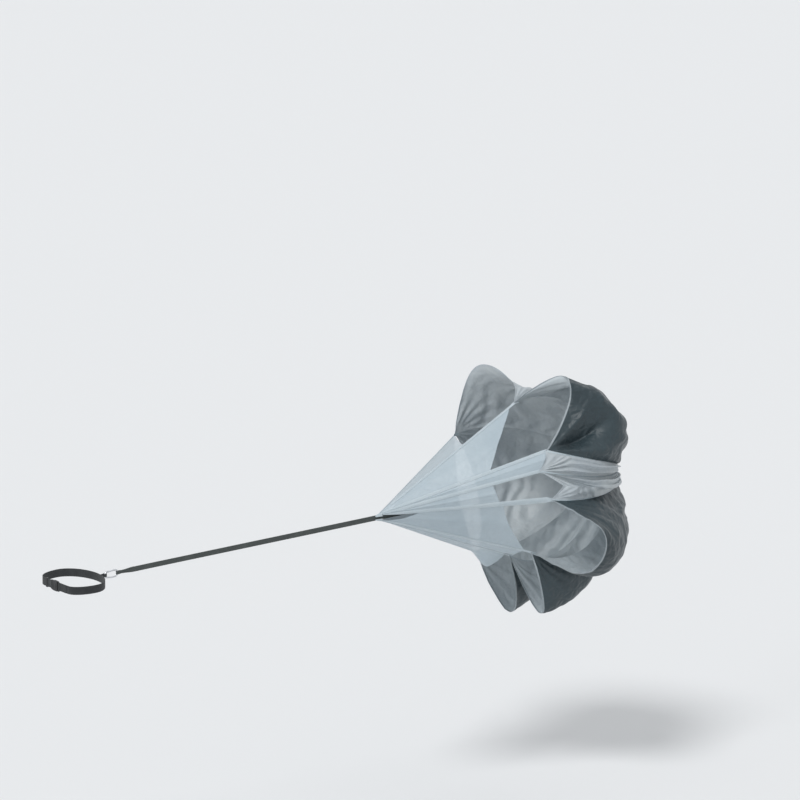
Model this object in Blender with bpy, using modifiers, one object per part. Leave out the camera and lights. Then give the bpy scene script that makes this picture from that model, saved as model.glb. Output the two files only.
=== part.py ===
"""Speed parachute: waist belt, snap hook, tow line and an eight-gore canopy held by tapes and sails.

Metres, +Z up. The origin is the middle of the waist belt. +X runs back along the tow line to the
canopy, and -Y is the wearer's left side. The canopy is shown filled with air, as it is towed.
"""

import math

import bmesh
import bpy
from mathutils import Matrix, Vector

# Fits shared by every piece
CLEARANCE = 0.0003
CUT_OVERRUN = 0.002
MERGE_DISTANCE = 0.00001

# Waist belt
BELT_HALF_DEPTH = 0.115
BELT_HALF_WIDTH = 0.155
BELT_FRONT_FLAT = 0.092
BELT_WEBBING_WIDTH = 0.038
BELT_WEBBING_THICKNESS = 0.0016
BELT_SEWN_TAIL = 0.040
BELT_FREE_TAIL = 0.052
BELT_FLARE = 0.014
BELT_CORNER_SHARE = 0.55
BELT_SIDE_STEPS = 10
BELT_BACK_STEPS = 24
BELT_WRAP_STEP_DEGREES = 22.0

# Side-release buckle, with its length along Y, its width along Z and its thickness along X
BUCKLE_WIDTH = 0.048
BUCKLE_THICKNESS = 0.012
BUCKLE_WALL = 0.002
BUCKLE_EDGE_RADIUS = 0.0015
BUCKLE_BAR_WIDTH = 0.0040
BUCKLE_BAR_SLOT = 0.0060
BUCKLE_RAIL_ROUND_SHARE = 0.6
SOCKET_MOUTH_Y = 0.012
SOCKET_CAVITY_DEPTH = 0.028
SOCKET_BACK_WALL = 0.0025
SOCKET_SIDE_WALL = 0.0035
SOCKET_WINDOW_LENGTH = 0.0125
SOCKET_WINDOW_FROM_MOUTH = 0.0100
PLUG_BASE_LENGTH = 0.0075
PLUG_COLLAR_STEP = 0.0010
PLUG_BLADE_WIDTH = 0.0080
PLUG_BLADE_LENGTH = 0.020
PLUG_BLADE_THICKNESS = 0.0045
ARM_THICKNESS = 0.0030
ARM_DEPTH = 0.0060
ARM_BARB_DEPTH = 0.0024
ARM_BARB_LENGTH = 0.0100
ARM_ROOT_STEPS = 6
ARM_BARB_TOP_SHARE = 0.45
ARM_TIP_DROP_SHARE = 0.2
ARM_TIP_HEEL_SHARE = 0.4
ARM_BARB_HEEL_SHARE = 0.3

# Slider that keeps the belt's free tail
SLIDER_LENGTH = 0.012
SLIDER_WALL = 0.0022
SLIDER_Y = 0.066
SLIDER_FIT = 0.0004

# Keeper loop on the back of the belt
KEEPER_WIDTH = 0.015
KEEPER_THICKNESS = 0.0015
KEEPER_FOOT = 0.022
KEEPER_REACH = 0.047
KEEPER_EYE_RADIUS = 0.0066
KEEPER_FLARE = 0.020
KEEPER_BEND = 0.0022
KEEPER_FOOT_STEPS = 3

# Snap hook, a bent round bar in the XZ plane
HOOK_LENGTH = 0.080
HOOK_BAR = 0.008
HOOK_FRONT_RADIUS = 0.013
HOOK_REAR_RADIUS = 0.016
HOOK_SPINE_BOW = 0.0015
HOOK_ARC_STEPS = 14
HOOK_SPINE_STEPS = 8
HOOK_PIN_FROM_ARC = 0.0055
HOOK_NOSE_LENGTH = 0.0050
TONGUE_THICKNESS = 0.0030
KNUCKLE_SIDES = 28
GATE_KNUCKLE_WIDTH_SHARE = 0.96
TONGUE_SIDE_FIT = 0.0003
HOOK_SEAT_DROP = 0.0022
HOOK_CUT_HEIGHT_SHARE = 1.5
PIN_RADIUS = 0.0012
PIN_HEAD_RADIUS = 0.0019
PIN_HEAD = 0.0006
GATE_END_GAP = 0.0005
GATE_STOP_WALL = 0.0014
GATE_BORE_RADIUS = 0.0021
GATE_BORE_DEPTH = 0.017
SPRING_WIRE = 0.0007
SPRING_COIL_RADIUS = 0.00145
SPRING_TURNS = 7
SPRING_LENGTH = 0.0105
SPRING_POINTS_A_TURN = 9

# Tow line
TOW_WIDTH = 0.025
TOW_THICKNESS = 0.0016
TOW_EYE_WIDTH = 0.0155
TOW_FOLD_BACK = 0.070
TOW_FLARE = 0.022
TOW_EYE_SLACK = 0.0010
TOW_SPAN = 1.506
TOW_INNER_END = 0.165
TOW_MERGE_LENGTH = 0.12
TOW_COLUMNS = 6
TOW_FLEX_FROM_GATHER = 0.006
TOW_FLEX_GAP = 0.0004

# Canopy and its suspension
CANOPY_RADIUS = 0.600
CANOPY_DEPTH = 0.560
SUSPENSION_REACH = 0.728
CLOTH = 0.0004
SAIL_CLOTH = 0.0003
TAPE_WIDTH = 0.016
TAPE_THICKNESS = 0.0008
TAPE_FRONT_WIDTH = 0.0034
TAPE_TAB = 0.024
TAPE_TAB_SEAT = 0.0009
TAPE_FRONT_GAP = 0.0009
TAPE_FRONT_SHARE = 0.12
TAPE_WING_SHARE = 0.36
TAPE_FOLD_END_SHARE = 0.975
TAPE_TAB_STEPS = 2
CROWN_PATCH_RADIUS = 0.030
CROWN_PATCH_THICKNESS = 0.0010
SAIL_BILLOW = 0.012
SAIL_BILLOW_WIDTH_SHARE = 0.07
SAIL_FLAT_MARGIN = 0.0030
SEAM_LEAST_SPREAD_SHARE = 0.25
GATHER_LENGTH = 0.034
GATHER_HALF_WIDTH = 0.0135
GATHER_HEIGHT = 0.0150
GATHER_TIP_SHARE = 0.32
GATHER_OVERLAP = 0.0070
GATHER_SIDES = 20
GORE_STEPS_LONG = 12
GORE_STEPS_ACROSS = 12
SAIL_STEPS_LONG = 8
SAIL_ROW_POWER_SHARE = 1.6
SAIL_STEPS_ACROSS = 6
TAPE_STEPS = 10
TAPE_FRONT_STEPS = 3
CROWN_START_SHARE = 0.012
CROWN_OFFSET_SHARE = 0.033

# Places that follow from the sizes above
BELT_FRONT_X = -BELT_HALF_DEPTH
HOOK_AXIS_X = BELT_HALF_DEPTH + KEEPER_REACH
HOOK_FRONT_CENTRE_X = HOOK_AXIS_X + HOOK_FRONT_RADIUS - HOOK_SEAT_DROP
HOOK_REAR_CENTRE_X = HOOK_FRONT_CENTRE_X + HOOK_LENGTH - HOOK_BAR - HOOK_FRONT_RADIUS - HOOK_REAR_RADIUS
TOW_EYE_X = HOOK_REAR_CENTRE_X + HOOK_REAR_RADIUS
APEX_X = TOW_EYE_X + TOW_SPAN
MOUTH_X = APEX_X + SUSPENSION_REACH
TOW_FLEX_X = APEX_X - GATHER_LENGTH - TOW_FLEX_FROM_GATHER

# Seams of the canopy, in order round it. Each row is the hem end (depth share from the mouth, y and z
# radius shares), the crown handle (y and z radius shares) and the hem handle (as the hem end).
SEAM_SHARES = (
    ((0.00, 0.662, 0.295), (0.40, 0.20), (0.45, 0.733, 0.367)),
    ((0.00, -0.092, 0.722), (0.00, 0.47), (0.45, -0.100, 0.817)),
    ((0.00, -0.492, 0.430), (-0.47, 0.15), (0.36, -0.767, 0.333)),
    ((-0.09, -0.525, 0.289), (-0.47, 0.08), (0.36, -0.733, 0.167)),
    ((0.00, -0.560, 0.054), (-0.47, -0.03), (0.32, -0.733, 0.017)),
    ((0.00, -0.308, -0.426), (-0.27, -0.37), (0.45, -0.400, -0.667)),
    ((0.00, -0.035, -0.512), (0.00, -0.47), (0.45, 0.000, -0.767)),
    ((0.00, 0.377, -0.587), (0.27, -0.37), (0.45, 0.450, -0.700)),
)

# Gores between those seams. Each row is the node's name, the middle of the hem, the crown handle, the
# hem handle, how full the gore stands beside its seams (a lower power is fuller) and how far its first
# side leans out beyond its second (y and z radius shares).
GORE_SHARES = (
    ("gore_top_left", (0.14, 0.350, 0.893), (0.17, 0.60), (0.21, 0.300, 0.650), 0.70, (0.078, 0.080)),
    ("gore_top_right", (0.36, -0.375, 0.880), (-0.37, 0.50), (0.71, -0.883, 0.617), 0.78, (-0.040, 0.050)),
    ("gore_right_upper", (-0.03, -0.520, 0.362), (-0.50, 0.15), (0.45, -0.833, 0.283), 0.80, (0.0, 0.0)),
    ("gore_right", (0.18, -0.612, 0.145), (-0.50, 0.03), (0.50, -0.833, 0.100), 0.78, (0.0, 0.0)),
    ("gore_right_lower", (0.36, -0.780, -0.417), (-0.43, -0.33), (0.66, -0.783, -0.600), 0.57,
     (-0.064, 0.083)),
    ("gore_bottom_right", (0.18, -0.217, -0.967), (-0.17, -0.53), (0.68, -0.333, -0.933), 0.55, (0.0, 0.0)),
    ("gore_bottom_left", (0.11, 0.083, -1.017), (0.13, -0.53), (0.61, 0.200, -0.933), 0.50, (0.0, 0.0)),
    ("gore_far", (0.27, 0.700, -0.217), (0.53, -0.10), (0.75, 0.800, -0.200), 0.70, (0.0, 0.0)),
)
DARK_GORES = ("gore_top_right", "gore_right_lower", "gore_bottom_right", "gore_bottom_left")

# Where the eight tapes start, as shares of the gather's half width and height, about the tow line's edges
TAPE_START_SHARES = (
    (0.80, 0.42),
    (0.28, 0.82),
    (-0.30, 0.80),
    (-0.68, 0.52),
    (-0.86, 0.14),
    (-0.66, -0.30),
    (-0.06, -0.74),
    (0.66, -0.42),
)

# Sails between the tapes: how far along its two tapes each begins and ends, and the hem's middle
SAIL_SHARES = (
    ((0.00, 0.00), (0.97, 0.76, 0.62)),
    ((0.00, 0.00), (0.97, 0.79, 0.66)),
    ((0.00, 0.00), (0.97, 0.96, 0.97)),
    ((0.00, 0.00), (0.70, 0.70, 0.70)),
    ((0.24, 0.00), (0.72, 0.80, 0.96)),
    ((0.00, 0.00), (0.96, 0.95, 0.96)),
    ((0.00, 0.00), (0.96, 0.97, 0.96)),
    ((0.00, 0.24), (0.96, 0.95, 0.97)),
)


def clear_scene():
    """Remove whatever the scene starts with."""
    for leftover in list(bpy.data.objects):
        bpy.data.objects.remove(leftover, do_unlink=True)


def make_collection(name):
    """Return a new collection linked to the scene."""
    collection = bpy.data.collections.new(name)
    bpy.context.scene.collection.children.link(collection)
    return collection


def make_material(name, colour, roughness, metallic=0.0):
    """Return a Principled material of one colour."""
    material = bpy.data.materials.new(name)
    material.use_nodes = True
    shader = material.node_tree.nodes["Principled BSDF"]
    shader.inputs["Base Color"].default_value = (*colour, 1.0)
    shader.inputs["Roughness"].default_value = roughness
    shader.inputs["Metallic"].default_value = metallic
    return material


def add_object(name, mesh, material, collection):
    """Link a new object that holds the mesh."""
    made = bpy.data.objects.new(name, mesh)
    if material is not None:
        made.data.materials.append(material)
    collection.objects.link(made)
    return made


def mesh_from_bmesh(name, work):
    """Turn a bmesh into a mesh and free it."""
    mesh = bpy.data.meshes.new(name)
    work.to_mesh(mesh)
    work.free()
    return mesh


def sheet_object(name, rows, thickness, material, collection):
    """Make an open surface from rows of points and thicken it evenly about its middle."""
    work = bmesh.new()
    grid = [[work.verts.new(point) for point in row] for row in rows]
    for row, following in zip(grid, grid[1:]):
        for index in range(len(row) - 1):
            work.faces.new((row[index], row[index + 1], following[index + 1], following[index]))
    made = add_object(name, mesh_from_bmesh(name, work), material, collection)
    made.data.shade_smooth()
    wall = made.modifiers.new("Thickness", "SOLIDIFY")
    wall.thickness = thickness
    wall.offset = 0.0
    return made


def ribbon_object(name, plan, half_widths, thickness, material, collection, columns=1):
    """Make a strap whose width stands along Z from the points of its run in plan."""
    rows = []
    for (x, y), half_width in zip(plan, half_widths):
        heights = [half_width * (2.0 * column / columns - 1.0) for column in range(columns + 1)]
        rows.append([Vector((x, y, z)) for z in heights])
    made = sheet_object(name, rows, thickness, material, collection)
    made.modifiers["Thickness"].use_even_offset = True
    return made


def box_object(name, low, high, material, collection):
    """Make a box between two corners, with its scale applied."""
    work = bmesh.new()
    bmesh.ops.create_cube(work, size=1.0)
    low, high = Vector(low), Vector(high)
    bmesh.ops.scale(work, vec=high - low, verts=work.verts)
    bmesh.ops.translate(work, vec=(low + high) / 2.0, verts=work.verts)
    return add_object(name, mesh_from_bmesh(name, work), material, collection)


def rod_object(name, radius, start, end, segments, material, collection):
    """Make a round rod between two points."""
    start, end = Vector(start), Vector(end)
    work = bmesh.new()
    bmesh.ops.create_cone(work, cap_ends=True, segments=segments, radius1=radius, radius2=radius,
                          depth=(end - start).length)
    turn = (end - start).to_track_quat("Z", "Y").to_matrix().to_4x4()
    bmesh.ops.transform(work, matrix=Matrix.Translation((start + end) / 2.0) @ turn, verts=work.verts)
    return add_object(name, mesh_from_bmesh(name, work), material, collection)


def wire_object(name, points, radius, resolution, material, collection):
    """Make a round wire along the points as a mesh with welded caps."""
    curve = bpy.data.curves.new(name, "CURVE")
    curve.dimensions = "3D"
    curve.bevel_depth = radius
    curve.bevel_resolution = resolution
    curve.use_fill_caps = True
    spline = curve.splines.new("POLY")
    spline.points.add(len(points) - 1)
    for target, point in zip(spline.points, points):
        target.co = (*point, 1.0)
    guide = bpy.data.objects.new(name + "_curve", curve)
    bpy.context.scene.collection.objects.link(guide)
    bpy.context.view_layer.update()
    evaluated = guide.evaluated_get(bpy.context.evaluated_depsgraph_get())
    mesh = bpy.data.meshes.new_from_object(evaluated)
    bpy.data.objects.remove(guide, do_unlink=True)
    work = bmesh.new()
    work.from_mesh(mesh)
    bpy.data.meshes.remove(mesh)
    bmesh.ops.remove_doubles(work, verts=work.verts, dist=MERGE_DISTANCE)
    bmesh.ops.recalc_face_normals(work, faces=work.faces)
    return add_object(name, mesh_from_bmesh(name, work), material, collection)


def combine(target, tool, operation):
    """Add a Boolean modifier with a tool that the build leaves out."""
    tool.hide_render = True
    tool.display_type = "WIRE"
    step = target.modifiers.new(operation.title() + " " + tool.name, "BOOLEAN")
    step.operation = operation
    step.object = tool
    step.solver = "EXACT"


def bevel(target, width, segments=2):
    """Round the sharp edges of an object."""
    step = target.modifiers.new("Rounded edges", "BEVEL")
    step.width = width
    step.segments = segments
    step.limit_method = "ANGLE"
    step.angle_limit = math.radians(40.0)


def bezier(start, handle_out, handle_in, end, share):
    """Return the point at a share of a cubic curve."""
    rest = 1.0 - share
    return (start * rest ** 3 + handle_out * (3.0 * share * rest ** 2)
            + handle_in * (3.0 * share ** 2 * rest) + end * share ** 3)


def eye_path(centre, along, radius, half_spacing, flare, reach_a, reach_b, step_degrees=20.0):
    """Return the plan of a strap that comes in, wraps a round bar and goes back beside itself.

    The two plies lie half_spacing either side of the run along the unit vector. reach_a and reach_b
    are how far each ply goes past the flare.
    """
    centre, along = Vector(centre), Vector(along)
    across = Vector((-along.y, along.x))
    near = Vector((flare, half_spacing))
    touch = math.atan2(near.y, near.x) + math.acos(radius / near.length)
    steps = max(2, round(math.degrees(2.0 * (math.pi - touch)) / step_degrees))
    local = [Vector((flare + reach_a, half_spacing)), near]
    for index in range(steps + 1):
        angle = touch + (2.0 * math.pi - 2.0 * touch) * index / steps
        local.append(Vector((math.cos(angle), math.sin(angle))) * radius)
    local += [Vector((flare, -half_spacing)), Vector((flare + reach_b, -half_spacing))]
    return [centre + along * point.x + across * point.y for point in local]


def belt_bar_x():
    """Return the X of the buckle's webbing bars, which the inner ply passes on the body side."""
    return BELT_FRONT_X - belt_eye_radius()


def belt_eye_radius():
    """Return the radius of the webbing's middle round a buckle bar."""
    return BUCKLE_BAR_WIDTH / 2.0 + CLEARANCE + BELT_WEBBING_THICKNESS / 2.0


def socket_bar_y():
    """Return the Y of the socket's webbing bar."""
    return (SOCKET_MOUTH_Y - SOCKET_CAVITY_DEPTH - SOCKET_BACK_WALL - BUCKLE_BAR_SLOT
            - BUCKLE_BAR_WIDTH / 2.0)


def plug_bar_y():
    """Return the Y of the plug's webbing bar."""
    return (SOCKET_MOUTH_Y + CLEARANCE + PLUG_BASE_LENGTH + BUCKLE_BAR_SLOT
            + BUCKLE_BAR_WIDTH / 2.0)


def belt_plan():
    """Return the belt's run: sewn tail, socket bar, round the waist, plug bar, free tail."""
    ply = (BELT_WEBBING_THICKNESS + CLEARANCE) / 2.0
    radius = belt_eye_radius()
    seam_x = BELT_FRONT_X - ply
    lift = seam_x - belt_bar_x()
    socket_end = belt_end(socket_bar_y(), -1.0, radius, ply, lift, BELT_SEWN_TAIL)
    plug_end = belt_end(plug_bar_y(), 1.0, radius, ply, lift, BELT_FREE_TAIL)
    left = belt_side(-1.0)
    right = belt_side(1.0)
    back = []
    for index in range(1, BELT_BACK_STEPS):
        angle = math.pi * (index / BELT_BACK_STEPS - 0.5)
        back.append(Vector((BELT_HALF_DEPTH * math.cos(angle), BELT_HALF_WIDTH * math.sin(angle))))
    return socket_end + left + back + right[::-1] + plug_end[::-1]


def belt_end(bar_y, side, radius, ply, lift, tail):
    """Return one end of the belt, from its tail round the buckle bar to the main ply."""
    path = []
    outer = seam_offset(-ply)
    inner = seam_offset(ply)
    flare_y = bar_y + side * BELT_FLARE
    path.append(Vector((outer, flare_y + side * tail)))
    path.append(Vector((outer, flare_y)))
    near = Vector((BELT_FLARE, -lift + ply))
    far = Vector((BELT_FLARE, -lift - ply))
    outer_touch = math.atan2(near.y, near.x) + math.acos(radius / near.length)
    inner_touch = math.atan2(far.y, far.x) - math.acos(radius / far.length)
    sweep = 2.0 * math.pi - outer_touch + inner_touch
    steps = max(3, round(math.degrees(sweep) / BELT_WRAP_STEP_DEGREES))
    for index in range(steps + 1):
        angle = outer_touch + sweep * index / steps
        path.append(Vector((belt_bar_x() - radius * math.sin(angle),
                            bar_y + side * radius * math.cos(angle))))
    path.append(Vector((inner, flare_y)))
    return path


def seam_offset(offset):
    """Return the X of a ply beside the belt's front seam line."""
    ply = (BELT_WEBBING_THICKNESS + CLEARANCE) / 2.0
    return BELT_FRONT_X - ply + offset


def belt_side(side):
    """Return the belt's run from its flat front to the widest point, on one side."""
    start = Vector((BELT_FRONT_X, side * BELT_FRONT_FLAT))
    end = Vector((0.0, side * BELT_HALF_WIDTH))
    handle_out = start + Vector((0.0, side * (BELT_HALF_WIDTH - BELT_FRONT_FLAT) * BELT_CORNER_SHARE))
    handle_in = end - Vector((BELT_HALF_DEPTH * BELT_CORNER_SHARE, 0.0))
    return [bezier(start, handle_out, handle_in, end, index / BELT_SIDE_STEPS)
            for index in range(BELT_SIDE_STEPS + 1)]


def build_belt(materials, parts, cutters):
    """Model the belt webbing, its slider and the keeper loop on its back."""
    plan = belt_plan()
    ribbon_object("belt_webbing", plan, [BELT_WEBBING_WIDTH / 2.0] * len(plan), BELT_WEBBING_THICKNESS,
                  materials["webbing"], parts)
    build_slider(materials, parts, cutters)
    build_keeper(materials, parts)


def build_slider(materials, parts, cutters):
    """Model the moulded loop that holds the free tail against the belt."""
    half_stack = BELT_WEBBING_THICKNESS + CLEARANCE / 2.0 + SLIDER_FIT
    half_opening = BELT_WEBBING_WIDTH / 2.0 + SLIDER_FIT
    centre_x = seam_offset(0.0)
    half_length = SLIDER_LENGTH / 2.0
    slider = box_object("tail_slider",
                        (centre_x - half_stack - SLIDER_WALL, SLIDER_Y - half_length,
                         -half_opening - SLIDER_WALL),
                        (centre_x + half_stack + SLIDER_WALL, SLIDER_Y + half_length,
                         half_opening + SLIDER_WALL),
                        materials["plastic"], parts)
    bevel(slider, BUCKLE_EDGE_RADIUS / 2.0)
    opening = box_object("slider_opening",
                         (centre_x - half_stack, SLIDER_Y - half_length - CUT_OVERRUN, -half_opening),
                         (centre_x + half_stack, SLIDER_Y + half_length + CUT_OVERRUN, half_opening),
                         None, cutters)
    combine(slider, opening, "DIFFERENCE")


def belt_back_x(y):
    """Return the X of the belt's middle at a Y on its back."""
    return BELT_HALF_DEPTH * math.sqrt(1.0 - (y / BELT_HALF_WIDTH) ** 2)


def build_keeper(materials, parts):
    """Model the short webbing loop that is sewn to the belt and holds the snap hook."""
    seat = (BELT_WEBBING_THICKNESS + KEEPER_THICKNESS) / 2.0 + CLEARANCE
    ply = (KEEPER_THICKNESS + CLEARANCE) / 2.0
    radius = KEEPER_EYE_RADIUS + KEEPER_THICKNESS / 2.0
    stem_start = belt_back_x(0.0) + seat + KEEPER_BEND
    reach = HOOK_AXIS_X - KEEPER_FLARE - stem_start
    loop = eye_path((HOOK_AXIS_X, 0.0), (-1.0, 0.0), radius, ply, KEEPER_FLARE, reach, reach)
    first, last = [], []
    for index in range(KEEPER_FOOT_STEPS + 1):
        y = ply + KEEPER_BEND + KEEPER_FOOT * (1.0 - index / KEEPER_FOOT_STEPS)
        first.append(Vector((belt_back_x(y) + seat, -y)))
        last.append(Vector((belt_back_x(y) + seat, y)))
    plan = first + loop + last[::-1]
    ribbon_object("keeper_loop", plan, [KEEPER_WIDTH / 2.0] * len(plan), KEEPER_THICKNESS,
                  materials["webbing"], parts)


def build_buckle(materials, parts, cutters):
    """Model the side-release buckle: socket, plug and the two arms that snap into the socket."""
    build_socket(materials, parts, cutters)
    build_plug(materials, parts, cutters)
    for side, name in ((1.0, "buckle_arm_upper"), (-1.0, "buckle_arm_lower")):
        build_arm(name, side, materials, parts)


def add_webbing_bar(target, body_end, bar_y, side, half_z, cutters):
    """Add two side rails to a buckle body and the round bar between them that the belt wraps."""
    centre_x = belt_bar_x()
    bar_half = BUCKLE_BAR_WIDTH / 2.0
    far = bar_y + side * bar_half
    low, high = sorted((body_end - side * BUCKLE_EDGE_RADIUS, far))
    rails = box_object(target.name + "_rails", (centre_x - bar_half, low, -half_z),
                       (centre_x + bar_half, high, half_z), None, cutters)
    bevel(rails, bar_half * BUCKLE_RAIL_ROUND_SHARE)
    combine(target, rails, "UNION")
    slot_half = BELT_WEBBING_WIDTH / 2.0 + CLEARANCE
    low, high = sorted((body_end, far + side * CUT_OVERRUN))
    slot = box_object(target.name + "_slot", (centre_x - bar_half - CUT_OVERRUN, low, -slot_half),
                      (centre_x + bar_half + CUT_OVERRUN, high, slot_half), None, cutters)
    combine(target, slot, "DIFFERENCE")
    reach = (slot_half + half_z) / 2.0
    bar = rod_object(target.name + "_bar", bar_half, (centre_x, bar_y, -reach), (centre_x, bar_y, reach),
                     16, None, cutters)
    combine(target, bar, "UNION")


def build_socket(materials, parts, cutters):
    """Model the socket: an open-mouthed sleeve with side windows and a webbing bar."""
    centre_x = belt_bar_x()
    half_x, half_z = BUCKLE_THICKNESS / 2.0, BUCKLE_WIDTH / 2.0
    cavity_end = SOCKET_MOUTH_Y - SOCKET_CAVITY_DEPTH
    socket = box_object("buckle_socket", (centre_x - half_x, cavity_end - SOCKET_BACK_WALL, -half_z),
                        (centre_x + half_x, SOCKET_MOUTH_Y, half_z), materials["plastic"], parts)
    bevel(socket, BUCKLE_EDGE_RADIUS)
    add_webbing_bar(socket, cavity_end - SOCKET_BACK_WALL, socket_bar_y(), -1.0, half_z, cutters)
    cavity = box_object("socket_cavity",
                        (centre_x - half_x + BUCKLE_WALL, cavity_end, -half_z + SOCKET_SIDE_WALL),
                        (centre_x + half_x - BUCKLE_WALL, SOCKET_MOUTH_Y + CUT_OVERRUN,
                         half_z - SOCKET_SIDE_WALL), None, cutters)
    combine(socket, cavity, "DIFFERENCE")
    window_start = SOCKET_MOUTH_Y - SOCKET_WINDOW_FROM_MOUTH
    window_half = ARM_DEPTH / 2.0 + CLEARANCE
    windows = box_object("socket_windows",
                         (centre_x - window_half, window_start - SOCKET_WINDOW_LENGTH,
                          -half_z - CUT_OVERRUN),
                         (centre_x + window_half, window_start, half_z + CUT_OVERRUN), None, cutters)
    combine(socket, windows, "DIFFERENCE")


def build_plug(materials, parts, cutters):
    """Model the plug: a collar against the socket's mouth, a guide blade and a webbing bar."""
    centre_x = belt_bar_x()
    half_x = BUCKLE_THICKNESS / 2.0 - PLUG_COLLAR_STEP
    half_z = BUCKLE_WIDTH / 2.0 - PLUG_COLLAR_STEP
    collar_start = SOCKET_MOUTH_Y + CLEARANCE
    collar_end = collar_start + PLUG_BASE_LENGTH
    plug = box_object("buckle_plug", (centre_x - half_x, collar_start, -half_z),
                      (centre_x + half_x, collar_end, half_z), materials["plastic"], parts)
    bevel(plug, BUCKLE_EDGE_RADIUS)
    add_webbing_bar(plug, collar_end, plug_bar_y(), 1.0, half_z, cutters)
    blade_half = PLUG_BLADE_THICKNESS / 2.0
    blade = box_object("plug_blade",
                       (centre_x - blade_half, collar_start - PLUG_BLADE_LENGTH, -PLUG_BLADE_WIDTH / 2.0),
                       (centre_x + blade_half, collar_start + BUCKLE_EDGE_RADIUS, PLUG_BLADE_WIDTH / 2.0),
                       None, cutters)
    bevel(blade, PLUG_BLADE_THICKNESS / 4.0)
    combine(plug, blade, "UNION")


def arm_outline():
    """Return the outline of the upper arm in Y and Z: a leaf from its round root to a barb."""
    half_z = BUCKLE_WIDTH / 2.0
    inner_face = half_z - SOCKET_SIDE_WALL - CLEARANCE
    barb_rear = SOCKET_MOUTH_Y - SOCKET_WINDOW_FROM_MOUTH - CLEARANCE
    barb_front = barb_rear - ARM_BARB_LENGTH
    leaf_out = inner_face - CLEARANCE
    leaf_in = leaf_out - ARM_THICKNESS
    barb_top = inner_face + ARM_BARB_DEPTH
    radius = ARM_THICKNESS / 2.0
    root_y = SOCKET_MOUTH_Y - radius
    outline = []
    for index in range(ARM_ROOT_STEPS + 1):
        angle = math.pi * (index / ARM_ROOT_STEPS - 0.5)
        outline.append((root_y + radius * math.cos(angle), leaf_in + radius + radius * math.sin(angle)))
    return outline + [
        (barb_rear, leaf_out), (barb_rear, barb_top),
        (barb_rear - ARM_BARB_LENGTH * ARM_BARB_TOP_SHARE, barb_top),
        (barb_front, leaf_out - ARM_THICKNESS * ARM_TIP_DROP_SHARE),
        (barb_front, leaf_in - ARM_THICKNESS * ARM_TIP_HEEL_SHARE),
        (barb_rear, leaf_in - ARM_THICKNESS * ARM_BARB_HEEL_SHARE),
    ]


def build_arm(name, side, materials, parts):
    """Model one springy arm of the plug, which is pinched in to open the buckle."""
    centre_x = belt_bar_x()
    half = ARM_DEPTH / 2.0
    work = bmesh.new()
    loop = [work.verts.new((centre_x - half, y, side * z)) for y, z in arm_outline()]
    face = work.faces.new(loop)
    grown = bmesh.ops.extrude_face_region(work, geom=[face])
    moved = [item for item in grown["geom"] if isinstance(item, bmesh.types.BMVert)]
    bmesh.ops.translate(work, vec=(ARM_DEPTH, 0.0, 0.0), verts=moved)
    bmesh.ops.recalc_face_normals(work, faces=work.faces)
    arm = add_object(name, mesh_from_bmesh(name, work), materials["plastic"], parts)
    bevel(arm, ARM_THICKNESS / 8.0, 1)


def hook_top_angle():
    """Return the slope of the hook's gate side, tangent to both end arcs."""
    centres = HOOK_REAR_CENTRE_X - HOOK_FRONT_CENTRE_X
    return math.asin((HOOK_REAR_RADIUS - HOOK_FRONT_RADIUS) / centres)


def hook_arc(centre_x, radius, start, end):
    """Return points along one end arc of the hook, by angle from +X in the XZ plane."""
    points = []
    for index in range(HOOK_ARC_STEPS + 1):
        angle = start + (end - start) * index / HOOK_ARC_STEPS
        points.append(Vector((centre_x + radius * math.cos(angle), 0.0, radius * math.sin(angle))))
    return points


def gate_frame():
    """Return the gate's pin, its unit direction and the nose shoulder on the gate side."""
    slope = hook_top_angle()
    normal_angle = math.pi / 2.0 + slope
    start = Vector((HOOK_FRONT_CENTRE_X + HOOK_FRONT_RADIUS * math.cos(normal_angle), 0.0,
                    HOOK_FRONT_RADIUS * math.sin(normal_angle)))
    end = Vector((HOOK_REAR_CENTRE_X + HOOK_REAR_RADIUS * math.cos(normal_angle), 0.0,
                  HOOK_REAR_RADIUS * math.sin(normal_angle)))
    direction = (end - start).normalized()
    return start + direction * HOOK_PIN_FROM_ARC, direction, end


def oriented_box(name, centre, direction, length, width, height, cutters):
    """Make a box in the hook's plane, with its length along the direction and its width along Y."""
    work = bmesh.new()
    bmesh.ops.create_cube(work, size=1.0)
    bmesh.ops.scale(work, vec=(length, width, height), verts=work.verts)
    turn = Matrix.Rotation(-math.atan2(direction.z, direction.x), 4, "Y")
    bmesh.ops.transform(work, matrix=Matrix.Translation(centre) @ turn, verts=work.verts)
    return add_object(name, mesh_from_bmesh(name, work), None, cutters)


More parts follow.
